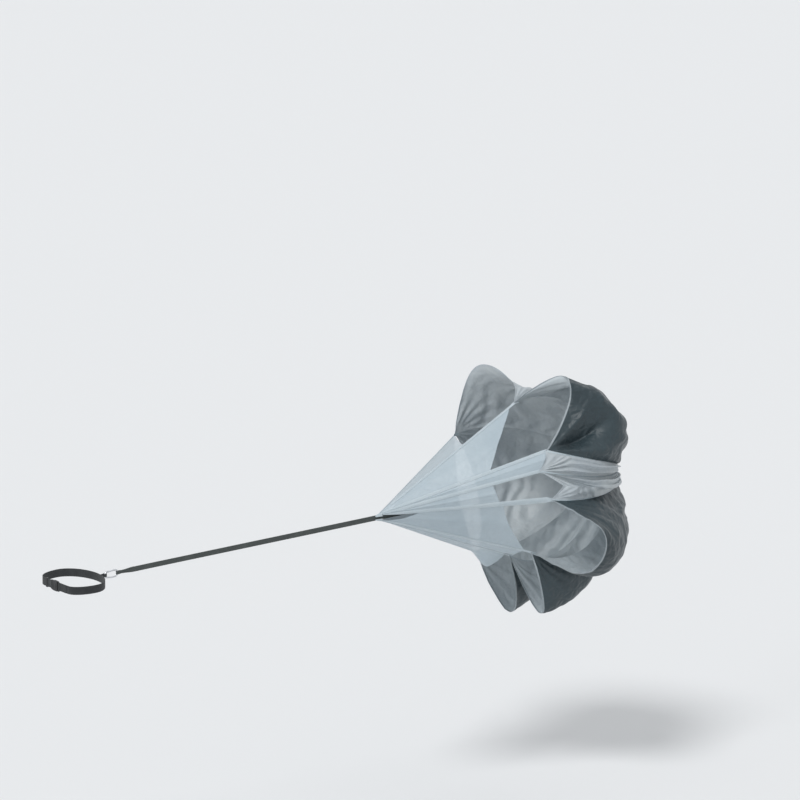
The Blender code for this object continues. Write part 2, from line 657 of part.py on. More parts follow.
def build_hook_body(materials, parts, cutters):
    """Model the bent bar of the snap hook with a flat tongue at its pin and at its nose."""
    pin, direction, shoulder = gate_frame()
    slope = hook_top_angle()
    top = math.pi / 2.0 + slope
    nose_end = shoulder - direction * HOOK_NOSE_LENGTH
    front = hook_arc(HOOK_FRONT_CENTRE_X, HOOK_FRONT_RADIUS, top, 2.0 * math.pi - math.pi / 2.0 - slope)
    rear = hook_arc(HOOK_REAR_CENTRE_X, HOOK_REAR_RADIUS, -math.pi / 2.0 - slope, top)
    spine = []
    for index in range(1, HOOK_SPINE_STEPS):
        share = index / HOOK_SPINE_STEPS
        point = front[-1].lerp(rear[0], share)
        point.z -= HOOK_SPINE_BOW * math.sin(math.pi * share)
        spine.append(point)
    path = [pin] + front + spine + rear + [nose_end]
    body = wire_object("hook_body", path, HOOK_BAR / 2.0, 3, materials["metal"], parts)
    normal = Vector((-direction.z, 0.0, direction.x))
    flat_start = pin - direction * (HOOK_BAR / 2.0 + GATE_END_GAP)
    hinge_length = HOOK_BAR + CUT_OVERRUN
    nose_length = HOOK_NOSE_LENGTH + CUT_OVERRUN
    for side in (-1.0, 1.0):
        offset = Vector((0.0, side * (TONGUE_THICKNESS + HOOK_BAR) / 2.0, 0.0))
        hinge_cut = oriented_box(f"hinge_flat_{side:+.0f}", flat_start + direction * hinge_length / 2.0
                                 + offset, direction, hinge_length, HOOK_BAR,
                                 HOOK_BAR * HOOK_CUT_HEIGHT_SHARE, cutters)
        combine(body, hinge_cut, "DIFFERENCE")
        nose_cut = oriented_box(f"nose_flat_{side:+.0f}", shoulder - direction * nose_length / 2.0
                                + offset, direction, nose_length, HOOK_BAR,
                                HOOK_BAR * HOOK_CUT_HEIGHT_SHARE, cutters)
        combine(body, nose_cut, "DIFFERENCE")
    half_tongue = Vector((0.0, TONGUE_THICKNESS / 2.0, 0.0))
    knuckle = rod_object("hinge_knuckle", HOOK_BAR / 2.0, pin - half_tongue, pin + half_tongue,
                         KNUCKLE_SIDES, None, cutters)
    combine(body, knuckle, "UNION")
    relief_height = GATE_STOP_WALL + CLEARANCE
    relief = oriented_box("nose_relief", shoulder - direction * nose_length / 2.0
                          - normal * (HOOK_BAR / 2.0 - relief_height / 2.0 + CUT_OVERRUN / 2.0),
                          direction, nose_length, HOOK_BAR * HOOK_CUT_HEIGHT_SHARE,
                          relief_height + CUT_OVERRUN, cutters)
    combine(body, relief, "DIFFERENCE")
    hole = rod_object("hinge_hole", PIN_RADIUS + CLEARANCE, pin - Vector((0.0, HOOK_BAR, 0.0)),
                      pin + Vector((0.0, HOOK_BAR, 0.0)), 16, None, cutters)
    combine(body, hole, "DIFFERENCE")


def build_gate(materials, parts, cutters):
    """Model the gate with its slots and bore, the pin it turns on and the spring inside it."""
    pin, direction, shoulder = gate_frame()
    normal = Vector((-direction.z, 0.0, direction.x))
    gate_start = pin - direction * (HOOK_BAR / 2.0)
    gate_end = shoulder - direction * GATE_END_GAP
    gate = rod_object("hook_gate", HOOK_BAR / 2.0, pin, gate_end, 16, materials["metal"], parts)
    half_knuckle = Vector((0.0, HOOK_BAR / 2.0 * GATE_KNUCKLE_WIDTH_SHARE, 0.0))
    knuckle = rod_object("gate_knuckle", HOOK_BAR / 2.0, pin - half_knuckle, pin + half_knuckle,
                         KNUCKLE_SIDES, None, cutters)
    combine(gate, knuckle, "UNION")
    slot_width = TONGUE_THICKNESS + 2.0 * TONGUE_SIDE_FIT
    hinge_slot_length = HOOK_BAR + GATE_END_GAP + CUT_OVERRUN
    hinge_slot = oriented_box("gate_hinge_slot",
                              gate_start - direction * CUT_OVERRUN + direction * hinge_slot_length / 2.0,
                              direction, hinge_slot_length, slot_width,
                              HOOK_BAR * HOOK_CUT_HEIGHT_SHARE, cutters)
    combine(gate, hinge_slot, "DIFFERENCE")
    nose_slot_length = HOOK_NOSE_LENGTH + CUT_OVERRUN
    nose_slot_height = HOOK_BAR - GATE_STOP_WALL
    nose_slot = oriented_box("gate_nose_slot",
                             shoulder - direction * (nose_slot_length / 2.0 + CLEARANCE - CUT_OVERRUN / 2.0)
                             + normal * (GATE_STOP_WALL / 2.0 + CUT_OVERRUN / 2.0),
                             direction, nose_slot_length + CUT_OVERRUN, slot_width,
                             nose_slot_height + CUT_OVERRUN, cutters)
    combine(gate, nose_slot, "DIFFERENCE")
    bore_end = pin + direction * GATE_BORE_DEPTH
    bore = rod_object("gate_bore", GATE_BORE_RADIUS, gate_start, bore_end, 14, None, cutters)
    combine(gate, bore, "DIFFERENCE")
    hole = rod_object("gate_pin_hole", PIN_RADIUS + CLEARANCE, pin - Vector((0.0, HOOK_BAR, 0.0)),
                      pin + Vector((0.0, HOOK_BAR, 0.0)), 16, None, cutters)
    combine(gate, hole, "DIFFERENCE")
    shank_end = Vector((0.0, HOOK_BAR / 2.0 + CLEARANCE + PIN_HEAD / 2.0, 0.0))
    pin_object = rod_object("gate_pin", PIN_RADIUS, pin - shank_end, pin + shank_end, 16,
                            materials["metal"], parts)
    for side in (-1.0, 1.0):
        inner = pin + Vector((0.0, side * (HOOK_BAR / 2.0 + CLEARANCE), 0.0))
        outer = inner + Vector((0.0, side * PIN_HEAD, 0.0))
        head = rod_object(f"pin_head_{side:+.0f}", PIN_HEAD_RADIUS, inner, outer, 16, None, cutters)
        combine(pin_object, head, "UNION")
    build_gate_spring(pin, direction, normal, materials, parts)


def build_gate_spring(pin, direction, normal, materials, parts):
    """Model the coil spring that lies in the gate's bore and presses on the hinge tongue."""
    start = pin + direction * (HOOK_BAR / 2.0 + CLEARANCE + SPRING_WIRE / 2.0)
    total = SPRING_TURNS * SPRING_POINTS_A_TURN
    points = []
    for index in range(total + 1):
        share = index / total
        angle = 2.0 * math.pi * SPRING_TURNS * share
        points.append(start + direction * (SPRING_LENGTH * share)
                      + normal * (SPRING_COIL_RADIUS * math.cos(angle))
                      + Vector((0.0, SPRING_COIL_RADIUS * math.sin(angle), 0.0)))
    wire_object("gate_spring", points, SPRING_WIRE / 2.0, 1, materials["metal"], parts)
    least = SPRING_LENGTH / SPRING_TURNS - SPRING_WIRE
    print("gate_spring: least gap between turns", round(least * 1000.0, 2), "mm")


def tow_eye_radius():
    """Return the radius of the tow webbing's middle round the hook's bar."""
    return HOOK_BAR / 2.0 + CLEARANCE + TOW_EYE_SLACK + TOW_THICKNESS / 2.0


def build_tow_line(materials, parts):
    """Model the tow webbing with its eye round the hook, and the end that is sewn to the gathers."""
    ply = (TOW_THICKNESS + CLEARANCE) / 2.0
    plan = eye_path((TOW_EYE_X, 0.0), (1.0, 0.0), tow_eye_radius(), ply, TOW_FLARE, TOW_FOLD_BACK,
                    TOW_FOLD_BACK)
    full, drawn_in = TOW_WIDTH / 2.0, TOW_EYE_WIDTH / 2.0
    half_widths = [full] + [drawn_in] * (len(plan) - 2) + [full]
    plan.append(Vector((TOW_EYE_X + TOW_FLARE + TOW_FOLD_BACK + TOW_MERGE_LENGTH, 0.0)))
    plan.append(Vector((TOW_FLEX_X - TOW_FLEX_GAP / 2.0, 0.0)))
    half_widths += [full, full]
    made = ribbon_object("tow_webbing", plan, half_widths, TOW_THICKNESS, materials["webbing"], parts,
                         TOW_COLUMNS)
    eye_end = TOW_EYE_X + TOW_FLARE
    for vertex in made.data.vertices:
        fade = min(1.0, max(0.0, (eye_end - vertex.co.x) / (eye_end - TOW_EYE_X)))
        drop = HOOK_REAR_RADIUS - math.sqrt(max(0.0, HOOK_REAR_RADIUS ** 2 - vertex.co.z ** 2))
        vertex.co.x -= drop * fade
    sewn = [Vector((TOW_FLEX_X + TOW_FLEX_GAP / 2.0, 0.0)), Vector((APEX_X + TOW_INNER_END, 0.0))]
    ribbon_object("tow_sewn_end", sewn, [full, full], TOW_THICKNESS, materials["webbing"], parts)


def canopy_point(depth_share, y_share, z_share):
    """Return a point of the canopy from its shares of the canopy's depth and radius."""
    return Vector((MOUTH_X + depth_share * CANOPY_DEPTH, y_share * CANOPY_RADIUS,
                   z_share * CANOPY_RADIUS))


def crown_point():
    """Return the middle of the crown."""
    return canopy_point(1.0, CROWN_OFFSET_SHARE, CROWN_OFFSET_SHARE)


def meridian(hem, crown_handle, hem_handle, share):
    """Return the point at a share of the line from the crown to the hem."""
    return bezier(crown_point(), canopy_point(1.0, *crown_handle), canopy_point(*hem_handle),
                  canopy_point(*hem), share)


def seam_point(index, share):
    """Return a point of a seam, from the crown at 0 to the hem at 1."""
    hem, crown_handle, hem_handle = SEAM_SHARES[index % len(SEAM_SHARES)]
    return meridian(hem, crown_handle, hem_handle, share)


def gore_point(index, share, across):
    """Return a point of a gore, from crown to hem and from its first seam to its second."""
    _, hem, crown_handle, hem_handle, power, (lean_y, lean_z) = GORE_SHARES[index % len(GORE_SHARES)]
    first = seam_point(index, share)
    second = seam_point(index + 1, share)
    middle = meridian(hem, crown_handle, hem_handle, share)
    rise = max(0.0, math.sin(math.pi * across)) ** power
    tilt = math.sin(2.0 * math.pi * across) * share ** 2 * CANOPY_RADIUS
    return (first.lerp(second, across) + (middle - (first + second) / 2.0) * rise
            + Vector((0.0, lean_y, lean_z)) * tilt)


def edge_setback(wall, neighbour, thickness):
    """Return how far two sheets of one thickness stop short of the line where they meet."""
    return (thickness + CLEARANCE) / max((wall - neighbour).length, SEAM_LEAST_SPREAD_SHARE)


def gore_rows(index):
    """Return a gore's grid of points, set back from its two seams."""
    step = 1.0 / GORE_STEPS_ACROSS
    rows = []
    for long_index in range(GORE_STEPS_LONG + 1):
        share = CROWN_START_SHARE + (1.0 - CROWN_START_SHARE) * long_index / GORE_STEPS_LONG
        row = [gore_point(index, share, column * step) for column in range(GORE_STEPS_ACROSS + 1)]
        first_wall = (row[1] - row[0]).normalized()
        last_wall = (row[-2] - row[-1]).normalized()
        before = (gore_point(index - 1, share, 1.0 - step) - row[0]).normalized()
        after = (gore_point(index + 1, share, step) - row[-1]).normalized()
        row[0] = row[0] + first_wall * edge_setback(first_wall, before, CLOTH)
        row[-1] = row[-1] + last_wall * edge_setback(last_wall, after, CLOTH)
        rows.append(row)
    return rows


def build_canopy(materials, parts):
    """Model the eight gores and the patch over their tips."""
    for index, row in enumerate(GORE_SHARES):
        name = row[0]
        cloth = "dark_cloth" if name in DARK_GORES else "pale_cloth"
        sheet_object(name, gore_rows(index), CLOTH, materials[cloth], parts)
    inner = crown_point() + Vector((CLOTH / 2.0 + CLEARANCE, 0.0, 0.0))
    patch = rod_object("crown_patch", CROWN_PATCH_RADIUS, inner,
                       inner + Vector((CROWN_PATCH_THICKNESS, 0.0, 0.0)), 32,
                       materials["pale_cloth"], parts)
    bevel(patch, CROWN_PATCH_THICKNESS / 4.0, 1)


def tape_start(index):
    """Return where a tape's middle starts at the gathers."""
    y_share, z_share = TAPE_START_SHARES[index % len(TAPE_START_SHARES)]
    edge = TOW_WIDTH / 2.0
    side = 1.0 if z_share > 0.0 else -1.0
    height = side * edge + z_share * (GATHER_HEIGHT - GATHER_OVERLAP)
    return Vector((APEX_X + TAPE_FRONT_GAP, y_share * GATHER_HALF_WIDTH, height))


def tape_ridge(index, share):
    """Return a point of the line where two sails meet under a tape."""
    start = tape_start(index)
    return start.lerp(seam_point(index, 1.0), share)


def ridge_frame(index, share):
    """Return the tape's direction, its outward normal and the directions along its two sails."""
    here = tape_ridge(index, share)
    along = (seam_point(index, 1.0) - tape_start(index)).normalized()
    before = tape_ridge(index - 1, share) - here
    after = tape_ridge(index + 1, share) - here
    before = (before - along * before.dot(along)).normalized()
    after = (after - along * after.dot(along)).normalized()
    side = (after - before).normalized()
    normal = along.cross(side).normalized()
    middle = sum((tape_ridge(other, share) for other in range(len(SEAM_SHARES))), Vector()) / len(SEAM_SHARES)
    if normal.dot(here - middle) < 0.0:
        normal.negate()
    return here, along, normal, before, after


def wall_frame(index, share):
    """Return a canopy seam's side and inward directions, and how far its gores lean inward."""
    step = 1.0 / GORE_STEPS_ACROSS
    here = seam_point(index, share)
    before = (gore_point(index - 1, share, 1.0 - step) - here).normalized()
    after = (gore_point(index, share, step) - here).normalized()
    side = (after - before).normalized()
    tangent = seam_point(index, share * (1.0 - step)) - here
    inward = side.cross(tangent).normalized()
    if inward.dot(Vector((0.0, here.y, here.z))) > 0.0:
        inward.negate()
    return side, inward, max(0.0, after.dot(inward), before.dot(inward))


def tape_wing(index, share, neighbour):
    """Return how far a tape reaches from its fold towards a neighbouring tape."""
    grown = min(1.0, share / TAPE_FRONT_SHARE)
    full = (TAPE_FRONT_WIDTH + (TAPE_WIDTH - TAPE_FRONT_WIDTH) * grown) / 2.0
    gap = (tape_ridge(neighbour, share) - tape_ridge(index, share)).length
    return min(full, gap * TAPE_WING_SHARE)


def tape_rows(index):
    """Return the grid of a tape folded over the sails' seam, with a flat tab inside the canopy."""
    rows = []
    shares = [TAPE_FRONT_SHARE * step / TAPE_FRONT_STEPS for step in range(TAPE_FRONT_STEPS)]
    shares += [TAPE_FRONT_SHARE + (TAPE_FOLD_END_SHARE - TAPE_FRONT_SHARE) * step / TAPE_STEPS
               for step in range(TAPE_STEPS + 1)]
    stack = (SAIL_CLOTH + TAPE_THICKNESS) / 2.0 + CLEARANCE
    for share in shares:
        here, _, normal, before, after = ridge_frame(index, share)
        centre = here + normal * (stack * 2.0 / (after - before).length)
        rows.append([centre + before * tape_wing(index, share, index - 1), centre,
                     centre + after * tape_wing(index, share, index + 1)])
    return rows + tab_rows(index)


def tab_rows(index):
    """Return the tape's last rows, which pass inside the hem and lie along the canopy's seam."""
    rows = []
    inner_share = 1.0 - (1.0 - CROWN_START_SHARE) / GORE_STEPS_LONG
    hem, inner = seam_point(index, 1.0), seam_point(index, inner_share)
    hem_side, hem_inward, hem_lean = wall_frame(index, 1.0)
    inner_side, inner_inward, inner_lean = wall_frame(index, inner_share)
    half = TAPE_WIDTH / 2.0
    gap = (TAPE_THICKNESS + CLOTH) / 2.0 + TAPE_TAB_SEAT + max(hem_lean, inner_lean) * half
    for step in range(TAPE_TAB_STEPS + 1):
        reach = TAPE_TAB * step / TAPE_TAB_STEPS / (inner - hem).length
        side = hem_side.lerp(inner_side, reach).normalized()
        centre = hem.lerp(inner, reach) + hem_inward.lerp(inner_inward, reach).normalized() * gap
        rows.append([centre - side * half, centre, centre + side * half])
    return rows


def sail_rows(index):
    """Return a sail's grid of points between its two tapes, set back from their seams."""
    (front_a, front_b), (hem_a, hem_middle, hem_b) = SAIL_SHARES[index]
    bend = 2.0 * hem_middle - (hem_a + hem_b) / 2.0
    rows = []
    for long_index in range(SAIL_STEPS_LONG + 1):
        along = (long_index / SAIL_STEPS_LONG) ** SAIL_ROW_POWER_SHARE
        first_share = front_a + (hem_a - front_a) * along
        second_share = front_b + (hem_b - front_b) * along
        first_strip = flat_strip(index, first_share, index + 1)
        second_strip = flat_strip(index + 1, second_share, index)
        row = []
        for column in range(-1, SAIL_STEPS_ACROSS + 2):
            middle = min(1.0, max(0.0, column / SAIL_STEPS_ACROSS))
            across = first_strip + (1.0 - first_strip - second_strip) * middle
            if column < 0:
                across = 0.0
            elif column > SAIL_STEPS_ACROSS:
                across = 1.0
            front = front_a + (front_b - front_a) * across
            rest = 1.0 - across
            hem = hem_a * rest ** 2 + bend * 2.0 * across * rest + hem_b * across ** 2
            row.append(sail_point(index, front + (hem - front) * along, across, middle))
        rows.append(row)
    return rows


def flat_strip(index, share, neighbour):
    """Return the share of a sail's width that lies flat under one of its tapes."""
    width = (tape_ridge(neighbour, share) - tape_ridge(index, share)).length
    return min(TAPE_WING_SHARE, (tape_wing(index, share, neighbour) + SAIL_FLAT_MARGIN) / width)


def sail_point(index, share, across, middle):
    """Return a point of a sail, which billows only over the share of it between the tapes."""
    first, _, first_normal, before_first, after_first = ridge_frame(index, share)
    second, _, second_normal, before_second, after_second = ridge_frame(index + 1, share)
    span = second - first
    point = first.lerp(second, across)
    if across == 0.0:
        point += span.normalized() * edge_setback(after_first, before_first, SAIL_CLOTH)
    elif across == 1.0:
        point -= span.normalized() * edge_setback(before_second, after_second, SAIL_CLOTH)
    billow = min(SAIL_BILLOW * share, SAIL_BILLOW_WIDTH_SHARE * span.length)
    outward = (first_normal + second_normal).normalized()
    return point + outward * (billow * math.sin(math.pi * middle) ** 2)


def build_suspension(materials, parts, cutters):
    """Model the eight tapes, the eight sails and the two gathers at the tow line's edges."""
    for index in range(len(SEAM_SHARES)):
        sheet_object(f"tape_{index + 1}", tape_rows(index), TAPE_THICKNESS, materials["pale_cloth"], parts)
        sheet_object(f"sail_{index + 1}", sail_rows(index), SAIL_CLOTH, materials["sail_cloth"], parts)
    for side, name in ((1.0, "gather_upper"), (-1.0, "gather_lower")):
        build_gather(name, side, materials, parts, cutters)


def build_gather(name, side, materials, parts, cutters):
    """Model the sewn fold that holds the front ends of the tapes to one edge of the tow line."""
    rear = Vector((APEX_X - CLEARANCE, 0.0, side * (TOW_WIDTH / 2.0 - GATHER_OVERLAP)))
    work = bmesh.new()
    bmesh.ops.create_cone(work, cap_ends=True, segments=GATHER_SIDES, radius1=GATHER_TIP_SHARE,
                          radius2=1.0, depth=1.0)
    bmesh.ops.rotate(work, matrix=Matrix.Rotation(math.pi / 2.0, 3, "Y"), verts=work.verts)
    bmesh.ops.translate(work, vec=(-0.5, 0.0, 0.0), verts=work.verts)
    bmesh.ops.scale(work, vec=(GATHER_LENGTH, GATHER_HALF_WIDTH, GATHER_HEIGHT), verts=work.verts)
    cut = bmesh.ops.bisect_plane(work, geom=work.verts[:] + work.edges[:] + work.faces[:],
                                 plane_co=(0.0, 0.0, 0.0), plane_no=(0.0, 0.0, -side), clear_outer=True)
    edges = [item for item in cut["geom_cut"] if isinstance(item, bmesh.types.BMEdge)]
    bmesh.ops.edgeloop_fill(work, edges=edges)
    bmesh.ops.translate(work, vec=rear, verts=work.verts)
    bmesh.ops.recalc_face_normals(work, faces=work.faces)
    gather = add_object(name, mesh_from_bmesh(name, work), materials["pale_cloth"], parts)
    edge = side * (TOW_WIDTH / 2.0 + CLEARANCE)
    low, high = sorted((edge, side * (TOW_WIDTH / 2.0 - GATHER_OVERLAP - CUT_OVERRUN)))
    half = TOW_THICKNESS / 2.0 + CLEARANCE
    seat = box_object(name + "_seat", (APEX_X - GATHER_LENGTH - CUT_OVERRUN, -half, low),
                      (APEX_X + CUT_OVERRUN, half, high), None, cutters)
    combine(gather, seat, "DIFFERENCE")


def main():
    """Build the whole parachute."""
    clear_scene()
    parts = make_collection("speed_parachute")
    cutters = make_collection("cutters")
    materials = {
        "webbing": make_material("Black webbing", (0.030, 0.034, 0.036), 0.80),
        "plastic": make_material("Black acetal", (0.020, 0.021, 0.023), 0.42),
        "metal": make_material("Zinc-plated steel", (0.72, 0.73, 0.74), 0.28, 1.0),
        "pale_cloth": make_material("Silver-grey nylon", (0.36, 0.40, 0.43), 0.55),
        "dark_cloth": make_material("Charcoal nylon", (0.045, 0.062, 0.070), 0.60),
        "sail_cloth": make_material("Translucent nylon", (0.46, 0.53, 0.57), 0.50),
    }
    build_belt(materials, parts, cutters)
    build_buckle(materials, parts, cutters)
    build_hook_body(materials, parts, cutters)
    build_gate(materials, parts, cutters)
    build_tow_line(materials, parts)
    build_canopy(materials, parts)
    build_suspension(materials, parts, cutters)


main()
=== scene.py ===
"""Dresses the speed parachute: canopy, sails, tapes, tow line, snap hook and waist belt.

Metres, in the CAD model's own frame: the origin is the middle of the waist belt, +X runs back along
the tow line to the canopy, and -Y is the wearer's left side.
"""

import logging
import math
from dataclasses import dataclass, field
from enum import Enum
from typing import Callable, Sequence

import bpy
import numpy as np
from mathutils import Matrix, Vector


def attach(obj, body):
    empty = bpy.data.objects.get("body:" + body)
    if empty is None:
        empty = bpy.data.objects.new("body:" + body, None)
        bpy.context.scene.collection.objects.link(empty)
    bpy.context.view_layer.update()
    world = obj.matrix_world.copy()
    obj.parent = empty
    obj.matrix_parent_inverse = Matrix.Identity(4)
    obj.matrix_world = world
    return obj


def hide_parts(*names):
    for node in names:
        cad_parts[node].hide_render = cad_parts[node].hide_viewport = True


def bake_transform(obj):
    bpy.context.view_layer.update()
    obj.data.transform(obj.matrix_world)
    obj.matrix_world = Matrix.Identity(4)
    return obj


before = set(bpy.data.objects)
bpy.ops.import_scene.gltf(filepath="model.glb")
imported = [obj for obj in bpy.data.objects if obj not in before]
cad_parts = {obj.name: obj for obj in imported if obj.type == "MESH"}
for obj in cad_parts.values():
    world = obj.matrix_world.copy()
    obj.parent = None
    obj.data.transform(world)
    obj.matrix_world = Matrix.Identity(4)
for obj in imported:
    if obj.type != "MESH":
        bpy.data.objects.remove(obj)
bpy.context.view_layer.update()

LOG = logging.getLogger("speed_parachute")
UP = Vector((0.0, 0.0, 1.0))

Colour = tuple[float, float, float]
Shares3 = tuple[float, float, float]
Shares2 = tuple[float, float]
Array = np.ndarray
Socket = bpy.types.NodeSocket
Material = bpy.types.Material
Piece = bpy.types.Object


class Body(str, Enum):
    """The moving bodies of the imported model."""

    BELT = "belt"
    SLIDER = "slider"
    ARM_UPPER = "arm_upper"
    ARM_LOWER = "arm_lower"
    HOOK = "hook"
    GATE = "gate"
    TOW = "tow"
    CANOPY = "canopy"


class Side(Enum):
    """Which half of a mirrored pair a piece belongs to."""

    UPPER = 1.0
    LOWER = -1.0


def rgb(*screen: float) -> Colour:
    """Turn a colour given as 0 to 255 on screen into linear light."""
    shares = [value / 255.0 for value in screen]
    return tuple(part / 12.92 if part <= 0.04045 else ((part + 0.055) / 1.055) ** 2.4 for part in shares)


def bezier(share: object, start: object, out: object, back: object, end: object) -> object:
    """Return points of a cubic curve, given its two ends and the handles between them."""
    rest = 1.0 - share
    return (start * rest ** 3 + out * (3.0 * share * rest ** 2) + back * (3.0 * share ** 2 * rest)
            + end * share ** 3)


def unit(vectors: Array) -> Array:
    """Return vectors at a length of one."""
    return vectors / np.maximum(np.linalg.norm(vectors, axis=-1, keepdims=True), 1e-12)


def add_object(name: str, data: bpy.types.ID) -> Piece:
    """Put new data into the scene as an object.

    Args:
        name: Its name.
        data: The data.

    Returns:
        The object.
    """
    made = bpy.data.objects.new(name, data)
    bpy.context.scene.collection.objects.link(made)
    return made


def dress_cloth(piece: Piece, body: Body, node: str, slot: str, **sheet: object) -> None:
    """Args:
        piece: The piece.
        body: The body that it rides on.
        node: The CAD node that it replaces, or nothing.
        slot: The record's slot; not used.
        **sheet: Its flat size, how it is held and what it rests on; not used.
    """
    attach(piece, body.value)
    if node:
        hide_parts(node)


# Finishes


class Recipe:
    """The node graph of one finish, with its Principled shader at hand."""

    def __init__(self, name: str) -> None:
        """Start a material with a bare Principled shader.

        Args:
            name: The material's name.
        """
        self.material = bpy.data.materials.new(name)
        self.material.use_nodes = True
        self.tree = self.material.node_tree
        self.shader = self.tree.nodes["Principled BSDF"]

    def set(self, **values: object) -> None:
        """Set constants on the shader's own sockets, with underscores for spaces."""
        for name, value in values.items():
            self.shader.inputs[name.replace("_", " ")].default_value = value

    def join(self, source: object, target: Socket) -> None:
        """Link a socket to a target, or write a constant on it.

        Args:
            source: A socket or a constant.
            target: The socket that takes it.
        """
        if isinstance(source, Socket):
            self.tree.links.new(source, target)
        else:
            target.default_value = source

    def node(self, kind: str, inputs: dict[str, object], **settings: object) -> bpy.types.Node:
        """Add a node.

        Args:
            kind: The node's type, without its ShaderNode prefix.
            inputs: Sockets or constants by input name.
            **settings: Properties of the node.

        Returns:
            The new node.
        """
        made = self.tree.nodes.new("ShaderNode" + kind)
        for name, value in settings.items():
            setattr(made, name, value)
        for name, value in inputs.items():
            self.join(value, made.inputs[name])
        return made

    def sum(self, operation: str, *terms: object) -> Socket:
        """Do one step of arithmetic on sockets or numbers.

        Args:
            operation: The Math node's operation.
            *terms: What it works on.

        Returns:
            The result.
        """
        made = self.tree.nodes.new("ShaderNodeMath")
        made.operation = operation
        for socket, term in zip(made.inputs, terms):
            self.join(term, socket)
        return made.outputs[0]

    def coordinates(self) -> Socket:
        """Return the object's own coordinates, in metres."""
        return self.node("TexCoord", {}).outputs["Object"]

    def map_parts(self, name: str) -> tuple[Socket, Socket]:
        """Return the two parts of one of the piece's UV maps, in metres."""
        parts = self.node("SeparateXYZ", {"Vector": self.node("UVMap", {}, uv_map=name).outputs[0]})
        return parts.outputs[0], parts.outputs[1]

    def noise(self, scale: float, detail: float, kind: str = "FBM", distortion: float = 0.0) -> Socket:
        """Return a noise over the object's coordinates, at a scale and with finer layers."""
        inputs = {"Vector": self.coordinates(), "Scale": scale, "Detail": detail, "Distortion": distortion}
        return self.node("TexNoise", inputs, noise_type=kind).outputs[0]

    def streaks(self, scale: Shares3, detail: float, turn: float = 0.0) -> Socket:
        """Return a noise that is drawn out to streaks and turned about Y."""
        place = self.node("Mapping", {"Vector": self.coordinates(), "Rotation": (0.0, turn, 0.0),
                                      "Scale": scale})
        return self.node("TexNoise", {"Vector": place.outputs[0], "Scale": 1.0, "Detail": detail}).outputs[0]

    def blend(self, share: object, first: object, second: object,
              kind: str = "MIX") -> Socket:
        """Mix two colours.

        Args:
            share: How much of the second there is.
            first: The first colour.
            second: The second colour.
            kind: The way that they mix.

        Returns:
            The mixed colour.
        """
        made = self.tree.nodes.new("ShaderNodeMix")
        made.data_type = "RGBA"
        made.blend_type = kind
        for index, value in ((0, share), (6, first), (7, second)):
            whole = (*value, 1.0) if isinstance(value, tuple) else value
            self.join(whole, made.inputs[index])
        return made.outputs[2]

    def span(self, value: object, low: float, high: float, to_low: float = 0.0,
             to_high: float = 1.0) -> Socket:
        """Map a value smoothly from one range to another, and hold it within that one's ends."""
        inputs = {"Value": value, "From Min": low, "From Max": high, "To Min": to_low, "To Max": to_high}
        return self.node("MapRange", inputs, interpolation_type="SMOOTHSTEP").outputs[0]

    def relief(self, height: object, strength: float, distance: float, under: Socket | None = None) -> Socket:
        """Turn a height, of which 1 is a distance in metres, into a normal that lies on another."""
        inputs = {"Height": height, "Strength": strength, "Distance": distance}
        return self.node("Bump", inputs if under is None else inputs | {"Normal": under}).outputs[0]

    def finish(self, colour: object, roughness: object, normal: object) -> Material:
        """Link the three surfaces to the shader.

        Args:
            colour: The base colour.
            roughness: The roughness.
            normal: The normal.

        Returns:
            The material.
        """
        self.join(colour, self.shader.inputs["Base Color"])
        self.join(roughness, self.shader.inputs["Roughness"])
        self.join(normal, self.shader.inputs["Normal"])
        return self.material


